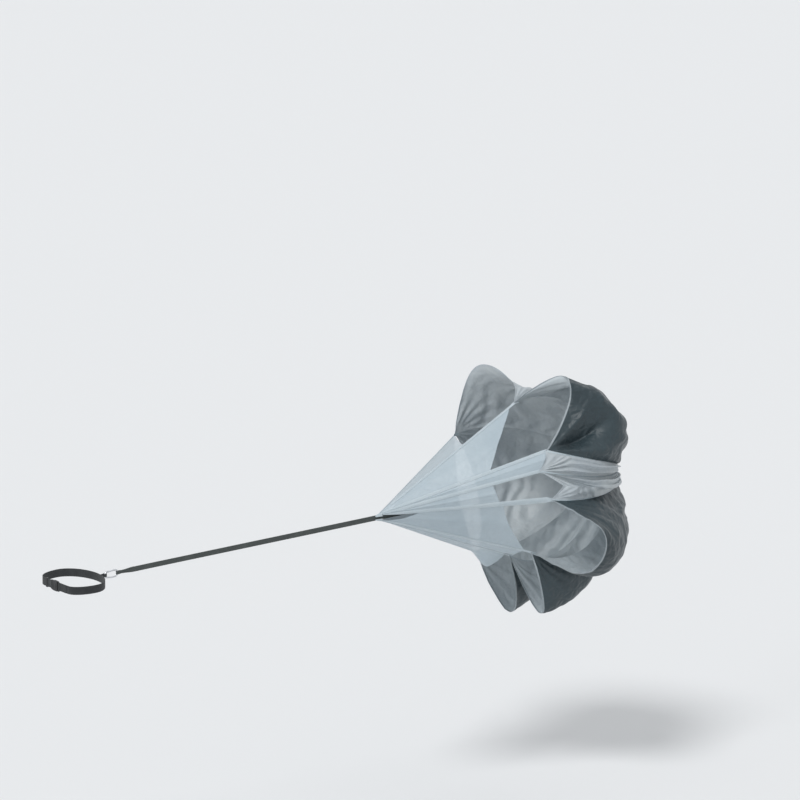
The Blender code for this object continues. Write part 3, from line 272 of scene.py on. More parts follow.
@dataclass(frozen=True)
class NylonFinish:
    """Thin ripstop nylon, with its grid, its creases and its seam stitching."""

    name: str
    colour: Colour
    tint: Colour
    stitch: Colour
    roughness: float = 0.52
    alpha: float = 1.0
    crease: float = 0.30
    sheen: float = 0.18
    grid: float = 0.0052
    thread_share: float = 0.14
    stitch_step: float = 0.0036
    stitch_share: float = 0.68
    stitch_half_width: float = 0.0005

    def build(self) -> Material:
        """Link the finish's nodes.

        Returns:
            The material.
        """
        recipe = Recipe(self.name)
        across, along = recipe.map_parts("cloth")
        seam, hem = recipe.map_parts("edges")
        cloud = recipe.noise(3.4, 3.0)
        speck = recipe.noise(46.0, 5.0)
        tone = recipe.sum("ADD", recipe.sum("MULTIPLY", cloud, 0.7), recipe.sum("MULTIPLY", speck, 0.3))
        colour = recipe.blend(recipe.span(tone, 0.36, 0.66), self.colour, self.tint)
        ripstop = recipe.sum("MAXIMUM", self.line(recipe, across), self.line(recipe, along))
        colour = recipe.blend(recipe.sum("MULTIPLY", ripstop, 0.16), colour, self.stitch)
        rows = recipe.sum("MAXIMUM", self.stitches(recipe, seam, hem, 0.0040),
                          self.stitches(recipe, seam, hem, 0.0082))
        rows = recipe.sum("MAXIMUM", rows, self.stitches(recipe, hem, across, 0.0095))
        colour = recipe.blend(recipe.sum("MULTIPLY", rows, 0.8), colour, self.stitch)
        creases = recipe.noise(11.0, 6.0, "RIDGED_MULTIFRACTAL", 0.6)
        facets = recipe.node("TexVoronoi", {"Vector": recipe.coordinates(), "Scale": 27.0},
                             feature="DISTANCE_TO_EDGE").outputs[0]
        fold = recipe.sum("ADD", recipe.span(creases, 0.4, 2.2), recipe.span(facets, 0.0, 0.35))
        normal = recipe.relief(fold, self.crease, 0.0035)
        normal = recipe.relief(speck, 0.22, 0.0016, normal)
        normal = recipe.relief(recipe.sum("ADD", ripstop, rows), 0.35, 0.00012, normal)
        roughness = recipe.span(tone, 0.2, 0.8, self.roughness - 0.08, self.roughness + 0.10)
        recipe.set(Sheen_Weight=self.sheen, Sheen_Roughness=0.45, Alpha=self.alpha)
        return recipe.finish(colour, roughness, normal)

    def line(self, recipe: Recipe, place: object) -> Socket:
        """Return 1 on the thicker threads that cross the cloth at even steps."""
        step = recipe.sum("FRACT", recipe.sum("DIVIDE", place, self.grid))
        return recipe.sum("LESS_THAN", step, self.thread_share)

    def stitches(self, recipe: Recipe, place: object, run: object, offset: float) -> Socket:
        """Return 1 on a row of stitches that runs at an offset from the edge."""
        near = recipe.sum("COMPARE", place, offset, self.stitch_half_width)
        return recipe.sum("MULTIPLY", near, recipe.sum("LESS_THAN", recipe.sum(
            "FRACT", recipe.sum("DIVIDE", run, self.stitch_step)), self.stitch_share))


@dataclass(frozen=True)
class WebbingFinish:
    """Woven webbing, with ribs across it, a ladder of cords along it, dusty edges and painted shade in the
    weave's hollows.
    """

    name: str
    colour: Colour
    worn: Colour
    half_width: float
    rib: float = 0.0021
    cords: float = 0.0030
    alpha: float = 1.0

    def build(self) -> Material:
        """Link the finish's nodes.

        Returns:
            The material.
        """
        recipe = Recipe(self.name)
        along, across = recipe.map_parts("cloth")
        stagger = recipe.sum("MULTIPLY", recipe.sum("FLOOR", recipe.sum("DIVIDE", across, self.cords)), 0.5)
        ribs = recipe.sum("SINE", recipe.sum("MULTIPLY", recipe.sum(
            "ADD", recipe.sum("DIVIDE", along, self.rib), stagger), 2.0 * math.pi))
        cords = recipe.sum("SINE", recipe.sum("MULTIPLY", recipe.sum("DIVIDE", across, self.cords),
                                              2.0 * math.pi))
        weave = recipe.sum("ADD", recipe.sum("MULTIPLY", ribs, 0.35), recipe.sum("MULTIPLY", cords, 0.2))
        height = recipe.span(weave, -0.55, 0.55)
        edge = recipe.span(recipe.sum("ABSOLUTE", across), self.half_width * 0.86, self.half_width)
        fuzz = recipe.noise(420.0, 4.0)
        dust = recipe.noise(9.0, 4.0)
        worn = recipe.sum("ADD", recipe.sum("MULTIPLY", edge, 0.5),
                          recipe.sum("MULTIPLY", recipe.span(dust, 0.42, 0.72), 0.45))
        colour = recipe.blend(recipe.sum("MINIMUM", worn, 0.85), self.colour, self.worn)
        # Painted shade: the weave's low parts, between ribs and cords, are darkened towards 0.45 of the
        # colour.
        colour = recipe.blend(recipe.span(height, 0.0, 0.5, 0.45, 0.0), colour,
                              tuple(part * 0.45 for part in self.colour))
        normal = recipe.relief(height, 0.75, 0.00045)
        normal = recipe.relief(fuzz, 0.35, 0.0002, normal)
        recipe.set(Sheen_Weight=0.12, Sheen_Roughness=0.5, Alpha=self.alpha)
        return recipe.finish(colour, recipe.span(fuzz, 0.2, 0.8, 0.72, 0.92), normal)


@dataclass(frozen=True)
class ThreadFinish:
    """Twisted sewing thread."""

    name: str
    colour: Colour

    def build(self) -> Material:
        """Link the finish's nodes.

        Returns:
            The material.
        """
        recipe = Recipe(self.name)
        fuzz = recipe.noise(900.0, 3.0)
        colour = recipe.blend(fuzz, tuple(part * 0.7 for part in self.colour), self.colour)
        recipe.set(Sheen_Weight=0.2)
        return recipe.finish(colour, 0.62, recipe.relief(fuzz, 0.5, 0.0002))


@dataclass(frozen=True)
class AcetalFinish:
    """Moulded acetal with a fine spark grain and paler handled patches."""

    name: str
    colour: Colour
    rubbed: Colour

    def build(self) -> Material:
        """Link the finish's nodes.

        Returns:
            The material.
        """
        recipe = Recipe(self.name)
        grain = recipe.noise(1900.0, 4.0)
        patch = recipe.noise(60.0, 3.0)
        scratch = recipe.streaks((900.0, 60.0, 900.0), 2.0)
        colour = recipe.blend(recipe.span(patch, 0.45, 0.75, 0.0, 0.6), self.colour, self.rubbed)
        colour = recipe.blend(recipe.span(scratch, 0.66, 0.74, 0.0, 0.5), colour, self.rubbed)
        normal = recipe.relief(grain, 0.3, 0.00012)
        roughness = recipe.span(patch, 0.3, 0.7, 0.50, 0.36)
        return recipe.finish(colour, roughness, normal)


@dataclass(frozen=True)
class PlatedFinish:
    """Bright zinc plating with a cast skin, fine scratches and dulled patches."""

    name: str
    colour: Colour
    dulled: Colour

    def build(self) -> Material:
        """Link the finish's nodes.

        Returns:
            The material.
        """
        recipe = Recipe(self.name)
        skin = recipe.noise(380.0, 3.0)
        patch = recipe.noise(70.0, 4.0)
        scratch = recipe.streaks((90.0, 2400.0, 2400.0), 3.0, 0.3)
        colour = recipe.blend(recipe.span(patch, 0.46, 0.74), self.colour, self.dulled)
        roughness = recipe.sum("ADD", recipe.span(patch, 0.3, 0.75, 0.17, 0.36),
                               recipe.span(scratch, 0.55, 0.75, 0.0, 0.14))
        normal = recipe.relief(skin, 0.12, 0.0003)
        normal = recipe.relief(scratch, 0.10, 0.00008, normal)
        recipe.set(Metallic=1.0)
        return recipe.finish(colour, roughness, normal)


class Finishes:
    """Every finish of the parachute, built once."""

    def __init__(self) -> None:
        """Build the materials."""
        stitch = rgb(190, 198, 202)
        nylons = {
            "pale_outside": NylonFinish("silver_nylon_outside", rgb(178, 185, 188), rgb(170, 179, 185),
                                        stitch),
            "pale_inside": NylonFinish("silver_nylon_inside", rgb(184, 191, 194), rgb(174, 182, 187), stitch),
            # Painted shade: the dark outer face of the dark gores stands in for the shade their outer faces
            # lie in; their inside is the same pale cloth as the other gores.
            "painted_shade_outside": NylonFinish("painted_shade_nylon_outside", rgb(36, 50, 56), rgb(45, 60, 66),
                                        rgb(66, 82, 88), roughness=0.44, crease=0.50, sheen=0.10),
            "grey_inside": NylonFinish("pewter_nylon_inside", rgb(184, 192, 196), rgb(174, 183, 188), stitch),
            "binding": NylonFinish("hem_binding", rgb(180, 188, 193), rgb(172, 181, 187), stitch, crease=0.2),
            # Pale hem band on the dark gores: partly real binding tape, partly a painted rim highlight along
            # the hem.
            "dark_gore_binding_highlight": NylonFinish("dark_gore_hem_binding_highlight", rgb(146, 155, 160), rgb(136, 146, 152), stitch,
                                        crease=0.2),
            "sail": NylonFinish("sail_nylon", rgb(190, 204, 212), rgb(182, 197, 206), rgb(212, 221, 226),
                                roughness=0.46, alpha=0.70, crease=0.20),
        }
        self.nylon = {name: finish.build() for name, finish in nylons.items()}
        self.tape = WebbingFinish("pale_tape", rgb(192, 205, 212), rgb(206, 216, 221), 0.008, rib=0.0011,
                                  cords=0.0016).build()
        self.tow = WebbingFinish("tow_webbing", rgb(70, 76, 75), rgb(92, 98, 95), 0.0125).build()
        self.belt = WebbingFinish("belt_webbing", rgb(40, 43, 45), rgb(66, 69, 70), 0.019).build()
        self.black_thread = ThreadFinish("black_thread", rgb(52, 56, 57)).build()
        self.acetal = AcetalFinish("black_acetal", rgb(34, 35, 37), rgb(58, 59, 61)).build()
        self.plated = PlatedFinish("plated_steel", (0.60, 0.61, 0.63), (0.42, 0.43, 0.45)).build()


# Cloth in mesh code


def ease(value: Array, low: float, high: float) -> Array:
    """Rise smoothly from 0 at low to 1 at high."""
    share = np.clip((value - low) / (high - low), 0.0, 1.0)
    return share * share * (3.0 - 2.0 * share)


def cloth_noise(points: Array, size: float, seed: int) -> Array:
    """Return smooth noise from -1 to 1 at points in space.

    Args:
        points: The points, with their coordinates last.
        size: The width of one feature, in metres.
        seed: Which noise it is.

    Returns:
        One value for each point.
    """
    place = points / size + seed * 17.31
    cell = np.floor(place).astype(np.int64)
    local = place - cell
    smooth = local * local * (3.0 - 2.0 * local)
    total = np.zeros(points.shape[:-1])
    for corner in range(8):
        step = np.array([corner & 1, (corner >> 1) & 1, (corner >> 2) & 1])
        at = cell + step
        code = (at[..., 0] * 73856093) ^ (at[..., 1] * 19349663) ^ (at[..., 2] * 83492791)
        code = (code ^ (code >> 13)) * 1274126177 + seed * 7919
        value = ((code >> 8) & 65535) / 32767.5 - 1.0
        weight = np.prod(np.where(step == 1, smooth, 1.0 - smooth), axis=-1)
        total += value * weight
    return total


def run_lengths(grid: Array, axis: int) -> Array:
    """Return each grid point's distance along its row or column, from the first point.

    Args:
        grid: The grid's points.
        axis: 0 down the columns, 1 along the rows.

    Returns:
        The distances.
    """
    steps = np.linalg.norm(np.diff(grid, axis=axis), axis=-1)
    start = np.zeros_like(np.take(grid[..., 0], [0], axis=axis))
    return np.concatenate([start, np.cumsum(steps, axis=axis)], axis=axis)


def grid_normals(grid: Array, away_from: Array) -> Array:
    """Return the unit normals of a grid, turned away from a point or line of points."""
    normal = unit(np.cross(np.gradient(grid, axis=0), np.gradient(grid, axis=1)))
    return -normal if np.sum(normal * (grid - away_from)) < 0.0 else normal


@dataclass
class ClothSheet:
    """A closed thin sheet made from a grid of points and their normals."""

    name: str
    grid: Array
    normals: Array
    thickness: Array
    cloth: Array
    edges: Array | None = None
    front: Array | None = None
    back: Array | None = None

    def build(self, materials: Sequence[Material]) -> Piece:
        """Make the mesh, with one wall on each side and a rim round it.

        Args:
            materials: The slots that front and back number.

        Returns:
            The new object.
        """
        rows, columns = self.grid.shape[:2]
        half = self.normals * (self.thickness[..., None] / 2.0)
        points = np.concatenate([(self.grid + half).reshape(-1, 3), (self.grid - half).reshape(-1, 3)])
        index = np.arange(rows * columns).reshape(rows, columns)
        quads = np.stack([index[:-1, :-1], index[:-1, 1:], index[1:, 1:], index[1:, :-1]],
                         axis=-1).reshape(-1, 4)
        first, second, fourth = (self.grid.reshape(-1, 3)[quads[:, item]] for item in (0, 1, 3))
        facing = np.cross(second - first, fourth - first)
        if np.sum(facing * self.normals.reshape(-1, 3)[quads[:, 0]]) < 0.0:
            quads = quads[:, ::-1]
        loop = np.concatenate([index[0, :-1], index[:-1, -1], index[-1, :0:-1], index[:0:-1, 0]])
        after = np.roll(loop, -1)
        offset = rows * columns
        rim = np.stack([loop, after, after + offset, loop + offset], axis=-1)
        edge_step = set(map(tuple, np.concatenate([quads[:, [0, 1]], quads[:, [1, 2]], quads[:, [2, 3]],
                                                   quads[:, [3, 0]]]).tolist()))
        if (int(loop[0]), int(after[0])) in edge_step:
            rim = rim[:, ::-1]
        faces = np.concatenate([quads, quads[:, ::-1] + offset, rim])
        mesh = bpy.data.meshes.new(self.name)
        mesh.from_pydata(points.tolist(), [], faces.tolist())
        corners = np.array([corner for face in faces.tolist() for corner in face]) % offset
        self.paint(mesh, "cloth", self.cloth.reshape(-1, 2)[corners])
        if self.edges is not None:
            self.paint(mesh, "edges", self.edges.reshape(-1, 2)[corners])
        for material in materials:
            mesh.materials.append(material)
        front = np.zeros(len(quads), int) if self.front is None else self.front.reshape(-1)
        back = front if self.back is None else self.back.reshape(-1)
        slots = np.concatenate([front, back, np.full(len(rim), int(front[-1]))])
        mesh.polygons.foreach_set("material_index", slots.astype(np.int32))
        mesh.polygons.foreach_set("use_smooth", np.ones(len(faces), bool))
        mesh.update()
        made = add_object(self.name, mesh)
        mark_sharp(made, 50.0)
        return made

    @staticmethod
    def paint(mesh: bpy.types.Mesh, name: str, values: Array) -> None:
        """Write a UV map, in metres."""
        layer = mesh.uv_layers.new(name=name)
        layer.data.foreach_set("uv", values.astype(np.float32).reshape(-1))


def mark_sharp(piece: Piece, degrees: float) -> None:
    """Shade a piece smooth, except over edges sharper than an angle.

    Args:
        piece: The piece.
        degrees: The angle.
    """
    Bench.only(piece)
    bpy.ops.object.shade_smooth_by_angle(angle=math.radians(degrees))
    piece.select_set(False)


# Canopy


@dataclass(frozen=True)
class Seam:
    """A seam's line from the crown to the hem, as shares of the canopy's depth and radius."""

    hem: Shares3
    crown_handle: Shares2
    hem_handle: Shares3
    tape_start: Shares2


@dataclass(frozen=True)
class Gore:
    """A gore between its seam and the next one."""

    node: str
    hem: Shares3
    crown_handle: Shares2
    hem_handle: Shares3
    fullness: float
    flat_area: float
    lean: Shares2 = (0.0, 0.0)
    # Whether the gore's outer face takes the dark finish, which is painted shade.
    dark: bool = False
    pucker: float = 1.0
    pleats: float = 0.0
    pleat_side: int = 0
    point: float = 0.0


@dataclass(frozen=True)
class Sail:
    """A sail between its seam's tape and the next: where it begins and ends along them."""

    front: Shares2
    hem: Shares3
    flat_area: float
    sag: float = 0.0


@dataclass(frozen=True)
class Crinkle:
    """A layer of wrinkles over the cloth: soft, or in ridges where it has a sharpness."""

    height: float
    size: float
    seed: int
    sharpness: int = 0


CRINKLES = (Crinkle(0.0042, 0.23, 3), Crinkle(0.0014, 0.085, 5), Crinkle(0.0024, 0.075, 11, 5),
            Crinkle(0.0009, 0.034, 29, 4))

STRIP = np.array([-1.0, -0.5, 0.0, 0.5, 1.0])

SEAMS = (
    Seam((0.00, 0.662, 0.295), (0.40, 0.20), (0.45, 0.733, 0.367), (0.80, 0.42)),
    Seam((0.00, -0.092, 0.722), (0.00, 0.47), (0.45, -0.100, 0.817), (0.28, 0.82)),
    Seam((0.00, -0.492, 0.430), (-0.47, 0.15), (0.36, -0.767, 0.333), (-0.30, 0.80)),
    Seam((-0.09, -0.525, 0.289), (-0.47, 0.08), (0.36, -0.733, 0.167), (-0.68, 0.52)),
    Seam((0.00, -0.560, 0.054), (-0.47, -0.03), (0.32, -0.733, 0.017), (-0.86, 0.14)),
    Seam((0.00, -0.308, -0.426), (-0.27, -0.37), (0.45, -0.400, -0.667), (-0.66, -0.30)),
    Seam((0.00, -0.035, -0.512), (0.00, -0.47), (0.45, 0.000, -0.767), (-0.06, -0.74)),
    Seam((0.00, 0.377, -0.587), (0.27, -0.37), (0.45, 0.450, -0.700), (0.66, -0.42)),
)

# Gores with dark=True have their outer face painted dark, as painted shade.
GORES = (
    Gore("gore_top_left", (0.14, 0.350, 0.893), (0.17, 0.60), (0.21, 0.300, 0.650), 0.70, 0.300,
         (0.078, 0.080)),
    Gore("gore_top_right", (0.36, -0.375, 0.880), (-0.37, 0.50), (0.71, -0.883, 0.617), 0.78, 0.327,
         (-0.040, 0.050), dark=True, pucker=1.2),
    Gore("gore_right_upper", (-0.03, -0.520, 0.362), (-0.50, 0.15), (0.45, -0.833, 0.283), 0.80, 0.063,
         pleats=3.0, pleat_side=1),
    Gore("gore_right", (0.09, -0.612, 0.165), (-0.50, 0.03), (0.50, -0.833, 0.100), 0.78, 0.075,
         pleats=3.0, pleat_side=0, point=0.9),
    Gore("gore_right_lower", (0.36, -0.780, -0.417), (-0.43, -0.33), (0.66, -0.783, -0.600), 0.57, 0.291,
         (-0.064, 0.083), dark=True, pucker=1.6),
    Gore("gore_bottom_right", (0.18, -0.217, -0.967), (-0.17, -0.53), (0.68, -0.333, -0.933), 0.55, 0.253,
         dark=True),
    Gore("gore_bottom_left", (0.11, 0.083, -1.017), (0.13, -0.53), (0.61, 0.200, -0.933), 0.50, 0.259,
         dark=True),
    Gore("gore_far", (0.27, 0.700, -0.217), (0.53, -0.10), (0.75, 0.800, -0.200), 0.70, 0.323),
)

SAILS = (
    Sail((0.00, 0.00), (0.99, 0.76, 0.62), 0.127),
    Sail((0.00, 0.00), (0.97, 0.79, 0.66), 0.080),
    Sail((0.00, 0.00), (0.998, 1.014, 0.998), 0.031, sag=0.004),
    Sail((0.00, 0.00), (0.70, 0.70, 0.70), 0.029),
    Sail((0.24, 0.00), (0.72, 0.80, 0.96), 0.088),
    Sail((0.00, 0.00), (0.96, 0.95, 0.96), 0.064),
    Sail((0.00, 0.00), (0.97, 1.00, 0.97), 0.095, sag=0.050),
    Sail((0.00, 0.24), (0.96, 0.95, 0.99), 0.205),
)


@dataclass
class CanopyForm:
    """The curved surfaces of the canopy and the straight tapes in front of it."""

    apex_x: float = 1.7378
    mouth_x: float = 2.4658
    depth: float = 0.560
    radius: float = 0.600
    crown_offset: float = 0.033
    gather_half_width: float = 0.0135
    gather_reach: float = 0.0080
    strap_half_width: float = 0.0125
    tape_gap: float = 0.0009

    def place(self, depth: object, across: object, height: object) -> Array:
        """Return a point from its shares of the canopy's depth and radius."""
        return np.array([self.mouth_x + depth * self.depth, across * self.radius, height * self.radius])

    def meridian(self, line: "Seam | Gore", share: Array) -> Array:
        """Return points of a line from the crown, at 0, to the hem, at 1."""
        start = self.place(1.0, self.crown_offset, self.crown_offset)
        return bezier(share[..., None], start, self.place(1.0, *line.crown_handle),
                      self.place(*line.hem_handle), self.place(*line.hem))

    def gore(self, index: int, share: Array, across: Array) -> Array:
        """Return a gore's grid.

        Args:
            index: The gore's number.
            share: Shares from the crown to the hem.
            across: Shares from its seam to the next.

        Returns:
            Points, by share and then across.
        """
        gore = GORES[index % len(GORES)]
        first = self.meridian(SEAMS[index % len(SEAMS)], share)[:, None]
        second = self.meridian(SEAMS[(index + 1) % len(SEAMS)], share)[:, None]
        middle = self.meridian(gore, share)[:, None]
        rise = np.maximum(np.sin(math.pi * across), 0.0)[None, :, None] ** gore.fullness
        column = across[None, :, None]
        point = gore.point * share[:, None, None] ** 2
        rise = rise * (1.0 - point) + (1.0 - np.sqrt((2.0 * column - 1.0) ** 2 + 0.0004)) * point
        tilt = np.sin(2.0 * math.pi * column) * share[:, None, None] ** 2 * self.radius
        return (first * (1.0 - column) + second * column + (middle - (first + second) / 2.0) * rise
                + np.array([0.0, *gore.lean]) * tilt)

    def tape_start(self, index: int) -> Array:
        """Return where a tape's middle starts at the gathers.

        Args:
            index: The tape's number.

        Returns:
            The point.
        """
        across, height = SEAMS[index % len(SEAMS)].tape_start
        side = 1.0 if height > 0.0 else -1.0
        return np.array([self.apex_x + self.tape_gap, across * self.gather_half_width,
                         side * self.strap_half_width + height * self.gather_reach])

    def ridge(self, index: int, share: Array) -> Array:
        """Return points of the line where two sails meet under a tape.

        Args:
            index: The tape's number.
            share: Shares along it.

        Returns:
            The points.
        """
        start = self.tape_start(index)
        end = self.meridian(SEAMS[index % len(SEAMS)], np.array([1.0]))[0]
        return start + (end - start) * np.asarray(share)[..., None]


@dataclass
class Canopy:
    """The eight gores with bound hems, their seam tapes and the patch on the crown."""

    form: CanopyForm
    finishes: Finishes
    rows: int = 150
    columns: int = 124
    cloth: float = 0.0006
    seam_width: float = 0.0060
    seam_thickness: float = 0.0012
    hem_width: float = 0.0080
    hem_thickness: float = 0.0013
    pleat_height: float = 0.0185
    valley_angle: float = 0.75
    valley_spread: float = 0.48
    valley_depth: float = 0.078
    crown_start: float = 0.012
    patch_radius: float = 0.030
    patch_thickness: float = 0.0012
    panel_end: float = 0.62
    panel_depth: float = 0.120
    panel_lift: float = 0.012
    panel_swell: float = 0.030
    notched: int = 1
    flat_length: float = 0.88
    flat_spare: float = 1.25
    ridge_level: float = 0.3
    pucker_height: float = 0.0021
    pucker_reach: float = 0.060
    fan_height: float = 0.0046
    fan_reach: float = 0.22
    fine_fan_height: float = 0.0013
    fine_fan_reach: float = 0.30
    radial_height: float = 0.0070
    radial_folds: float = 4.0
    pale_girth: float = 0.0045
    dark_girth: float = 0.0018
    girth_step: float = 0.105
    seam_quiet: float = 0.012
    seam_tape_half: float = 0.006
    seam_tape_lift: float = 0.0011
    seam_tape_thickness: float = 0.0006

    def build(self) -> None:
        """Build and dress every piece of the canopy."""
        for index, gore in enumerate(GORES):
            piece = self.gore(index, gore)
            dress_cloth(piece, Body.CANOPY, gore.node, "dark_cloth" if gore.dark else "pale_cloth",
                        flat=(gore.flat_area / self.flat_length * self.flat_spare, self.flat_length),
                        held="stretched", area=gore.flat_area, rests_on=[f"tape_{index + 1}"])
            LOG.info("%s: %d points", gore.node, len(piece.data.vertices))
        for index in range(len(SEAMS)):
            self.seam_tape(index)
        self.crown_patch()

    def even_rows(self, index: int, across: Array) -> tuple[Array, Array]:
        """Sample a gore so that each row keeps one distance from the hem.

        Args:
            index: The gore's number.
            across: Shares across it.

        Returns:
            The grid from crown to hem, and each point's distance from the hem.
        """
        dense = self.form.gore(index, np.linspace(self.crown_start, 1.0, 260), across)
        lengths = run_lengths(dense, 0)
        hem = np.array([0.0, 0.0028, 0.0056, self.hem_width - 0.0006, self.hem_width])
        spread = np.linspace(0.0, 1.0, self.rows - len(hem) + 1)[1:] ** 1.15
        grid = np.zeros((self.rows, len(across), 3))
        distance = np.zeros((self.rows, len(across)))
        for column in range(len(across)):
            total = lengths[-1, column]
            from_hem = np.concatenate([hem, self.hem_width + (total - self.hem_width) * spread])[::-1]
            distance[:, column] = from_hem
            for axis in range(3):
                grid[:, column, axis] = np.interp(total - from_hem, lengths[:, column],
                                                  dense[:, column, axis])
        return grid, distance

    def gore(self, index: int, gore: Gore) -> Piece:
        """Model one gore with its creases, bound hem and seam edges.

        Args:
            index: The gore's number.
            gore: The gore.

        Returns:
            The gore's object.
        """
        turn = np.linspace(0.0, 1.0, self.columns)
        across = (1.0 - np.cos(math.pi * turn)) / 2.0
        across = across * 0.7 + turn * 0.3
        grid, hem = self.even_rows(index, across)
        axis = np.array([self.form.mouth_x, 0.0, 0.0])
        normals = grid_normals(grid, axis)
        lengths = run_lengths(grid, 1)
        first, second = lengths, lengths[:, -1:] - lengths
        heights = self.creases(index, gore, grid, hem, first, second, across)
        grid = grid + normals * heights[..., None]
        normals = grid_normals(grid, axis)
        seam = np.minimum(first, second)
        thick = self.cloth + (self.hem_thickness - self.cloth) * (hem < self.hem_width - 0.0003)
        thick = np.maximum(thick, self.cloth + (self.seam_thickness - self.cloth)
                           * (1.0 - ease(seam, self.seam_width * 0.7, self.seam_width)))
        cloth = np.stack([first - lengths[:, -1:] / 2.0, hem], axis=-1)
        edges = np.stack([seam, hem], axis=-1)
        # Faces within the hem width take the binding finish; on the dark gores this pale band is partly a
        # painted rim highlight.
        centre = (hem[:-1, :-1] + hem[1:, 1:]) / 2.0
        bound = centre < self.hem_width
        front, back = np.where(bound, 2, 0), np.where(bound, 2, 1)
        # The dark gores' outer face takes the dark finish, painted shade standing in for the shade on it.
        names = (("pale_outside", "pale_inside", "binding"), ("painted_shade_outside", "grey_inside", "dark_gore_binding_highlight"))
        sheet = ClothSheet(gore.node + "_cloth", grid, normals, thick, cloth, edges, front, back)
        return sheet.build([self.finishes.nylon[name] for name in names[gore.dark]])

    def creases(self, index: int, gore: Gore, grid: Array, hem: Array, first: Array, second: Array,
                across: Array) -> Array:
        """Return how far the cloth stands off its smooth form.

        Args:
            index: The gore's number.
            gore: The gore.
            grid: Its points.
            hem: Their distances from the hem.
            first: Their distances from the first seam.
            second: Their distances from the second seam.
            across: Their shares across.

        Returns:
            The heights, outwards.
        """
        random = np.random.default_rng(40 + index)
        width = first + second
        narrow = np.clip(width / 0.30, 0.25, 1.0)
        heights = np.zeros(hem.shape)
        for layer in CRINKLES:
            noise = cloth_noise(grid, layer.size, layer.seed + (index if layer.sharpness else 0))
            if layer.sharpness:
                ridges = (1.0 - np.abs(noise)) ** layer.sharpness - self.ridge_level
                heights += layer.height * ridges * gore.pucker * narrow
            else:
                heights += layer.height * noise * narrow
        warp = cloth_noise(grid, 0.11, 7)
        for distance in (first, second):
            pitch, slant = random.uniform(0.034, 0.046), random.uniform(0.5, 0.9)
            wave = np.sin(2.0 * math.pi * ((hem + slant * distance) / pitch + 0.5 * warp))
            heights += self.pucker_height * wave * np.exp(-distance / self.pucker_reach) * narrow
            reach = np.sqrt(distance ** 2 + hem ** 2)
            angle = np.arctan2(distance, hem + 1e-6)
            folds = random.uniform(13.0, 17.0) * np.minimum(1.0, width[-1:] / 0.25 + 0.45)
            fan = np.sin(folds * angle + 1.2 * warp + random.uniform(0.0, 6.0))
            fan = np.sign(fan) * np.abs(fan) ** 0.7
            heights += (self.fan_height * fan * ease(reach, 0.0, 0.10) * np.exp(-reach / self.fan_reach)
                        * narrow)
            if gore.dark:
                fine = np.sin(38.0 * angle + 2.2 * warp)
                heights += (self.fine_fan_height * fine * ease(reach, 0.05, 0.14)
                            * np.exp(-reach / self.fine_fan_reach))
        share = 1.0 - hem / hem[:1]
        radial = np.sin(2.0 * math.pi * self.radial_folds * across[None] + 1.5 * warp
                        + random.uniform(0.0, 6.0))
        heights += self.radial_height * radial * ease(share, 0.02, 0.16) * (
            1.0 - ease(share, 0.40, 0.80)) * narrow
        girth = 0.0 if gore.pleats else self.dark_girth if gore.dark else self.pale_girth
        heights += girth * np.sin(2.0 * math.pi * (hem / self.girth_step + 0.9 * warp)) * ease(
            hem, 0.02, 0.12)
        if gore.pleats:
            heights += self.pleated(gore, (first, second)[gore.pleat_side], hem, width, warp)
        if index == self.notched:
            heights += self.valley(hem, second)
            heights += self.turned_panel(hem, across)
        quiet = 1.0 - np.exp(-(np.minimum(first, second) / self.seam_quiet) ** 2)
        heights = heights * quiet * ease(share, 0.0, 0.06)
        if index == self.notched:
            heights = heights * self.firmness(grid)
        return self.smooth(heights)

    @staticmethod
    def firmness(grid: Array) -> Array:
        """Return 1 where rows cross columns, down to 0 at the hem's point, where they run together.

        Args:
            grid: The gore's points.

        Returns:
            The weights.
        """
        along, across = np.gradient(grid, axis=0), np.gradient(grid, axis=1)
        lengths = np.linalg.norm(along, axis=-1) * np.linalg.norm(across, axis=-1)
        firm = ease(np.linalg.norm(np.cross(along, across), axis=-1) / lengths, 0.2, 0.7)
        for _ in range(6):
            wide = np.pad(firm, 1, mode="edge")
            firm = (wide[:-2, 1:-1] + wide[2:, 1:-1] + wide[1:-1, :-2] + wide[1:-1, 2:] + 4.0 * firm) / 8.0
        return firm

    @staticmethod
    def smooth(heights: Array) -> Array:
        """Take the grid's own jags off the creases, with the edges left where they are.

        Args:
            heights: The heights.

        Returns:
            The same heights, smoothed.
        """
        for _ in range(2):
            for axis in (0, 1):
                calm = (np.roll(heights, 1, axis) + 2.0 * heights + np.roll(heights, -1, axis)) / 4.0
                inner = (slice(1, -1), slice(None)) if axis == 0 else (slice(None), slice(1, -1))
                heights[inner] = calm[inner]
        return heights

    def pleated(self, gore: Gore, distance: Array, hem: Array, width: Array,
                warp: Array) -> Array:
        """Return the pleats that spread from a narrow gore's hem corner and run on to the crown.

        Args:
            gore: The gore.
            distance: Distances from the seam at that corner.
            hem: Distances from the hem.
            width: The gore's width in each row.
            warp: Noise that bends the pleats.

        Returns:
            The heights, outwards.
        """
        spread = distance / np.minimum(width, hem * 0.8 + 0.006)
        wave = np.sin(math.pi * gore.pleats * np.minimum(spread, 2.0) + 0.5 * warp + 0.4)
        return self.pleat_height * (0.35 - np.sqrt(wave ** 2 + 0.01)) * ease(hem, 0.0, 0.05) * np.clip(
            width / 0.10, 0.0, 1.0)

    def valley(self, hem: Array, distance: Array) -> Array:
        """Return the long valley that runs up the near upper gore from its lower hem corner.

        Args:
            hem: Distances from the hem.
            distance: Distances from the second seam.

        Returns:
            The heights, outwards.
        """
        reach = np.sqrt(hem ** 2 + distance ** 2)
        off = (np.arctan2(distance, hem + 1e-6) - self.valley_angle) / self.valley_spread
        return -self.valley_depth * np.maximum(1.0 - np.sqrt(off ** 2 + 0.0015), 0.0) * ease(
            reach, 0.02, 0.14) * (1.0 - ease(reach, 0.20, 0.40))

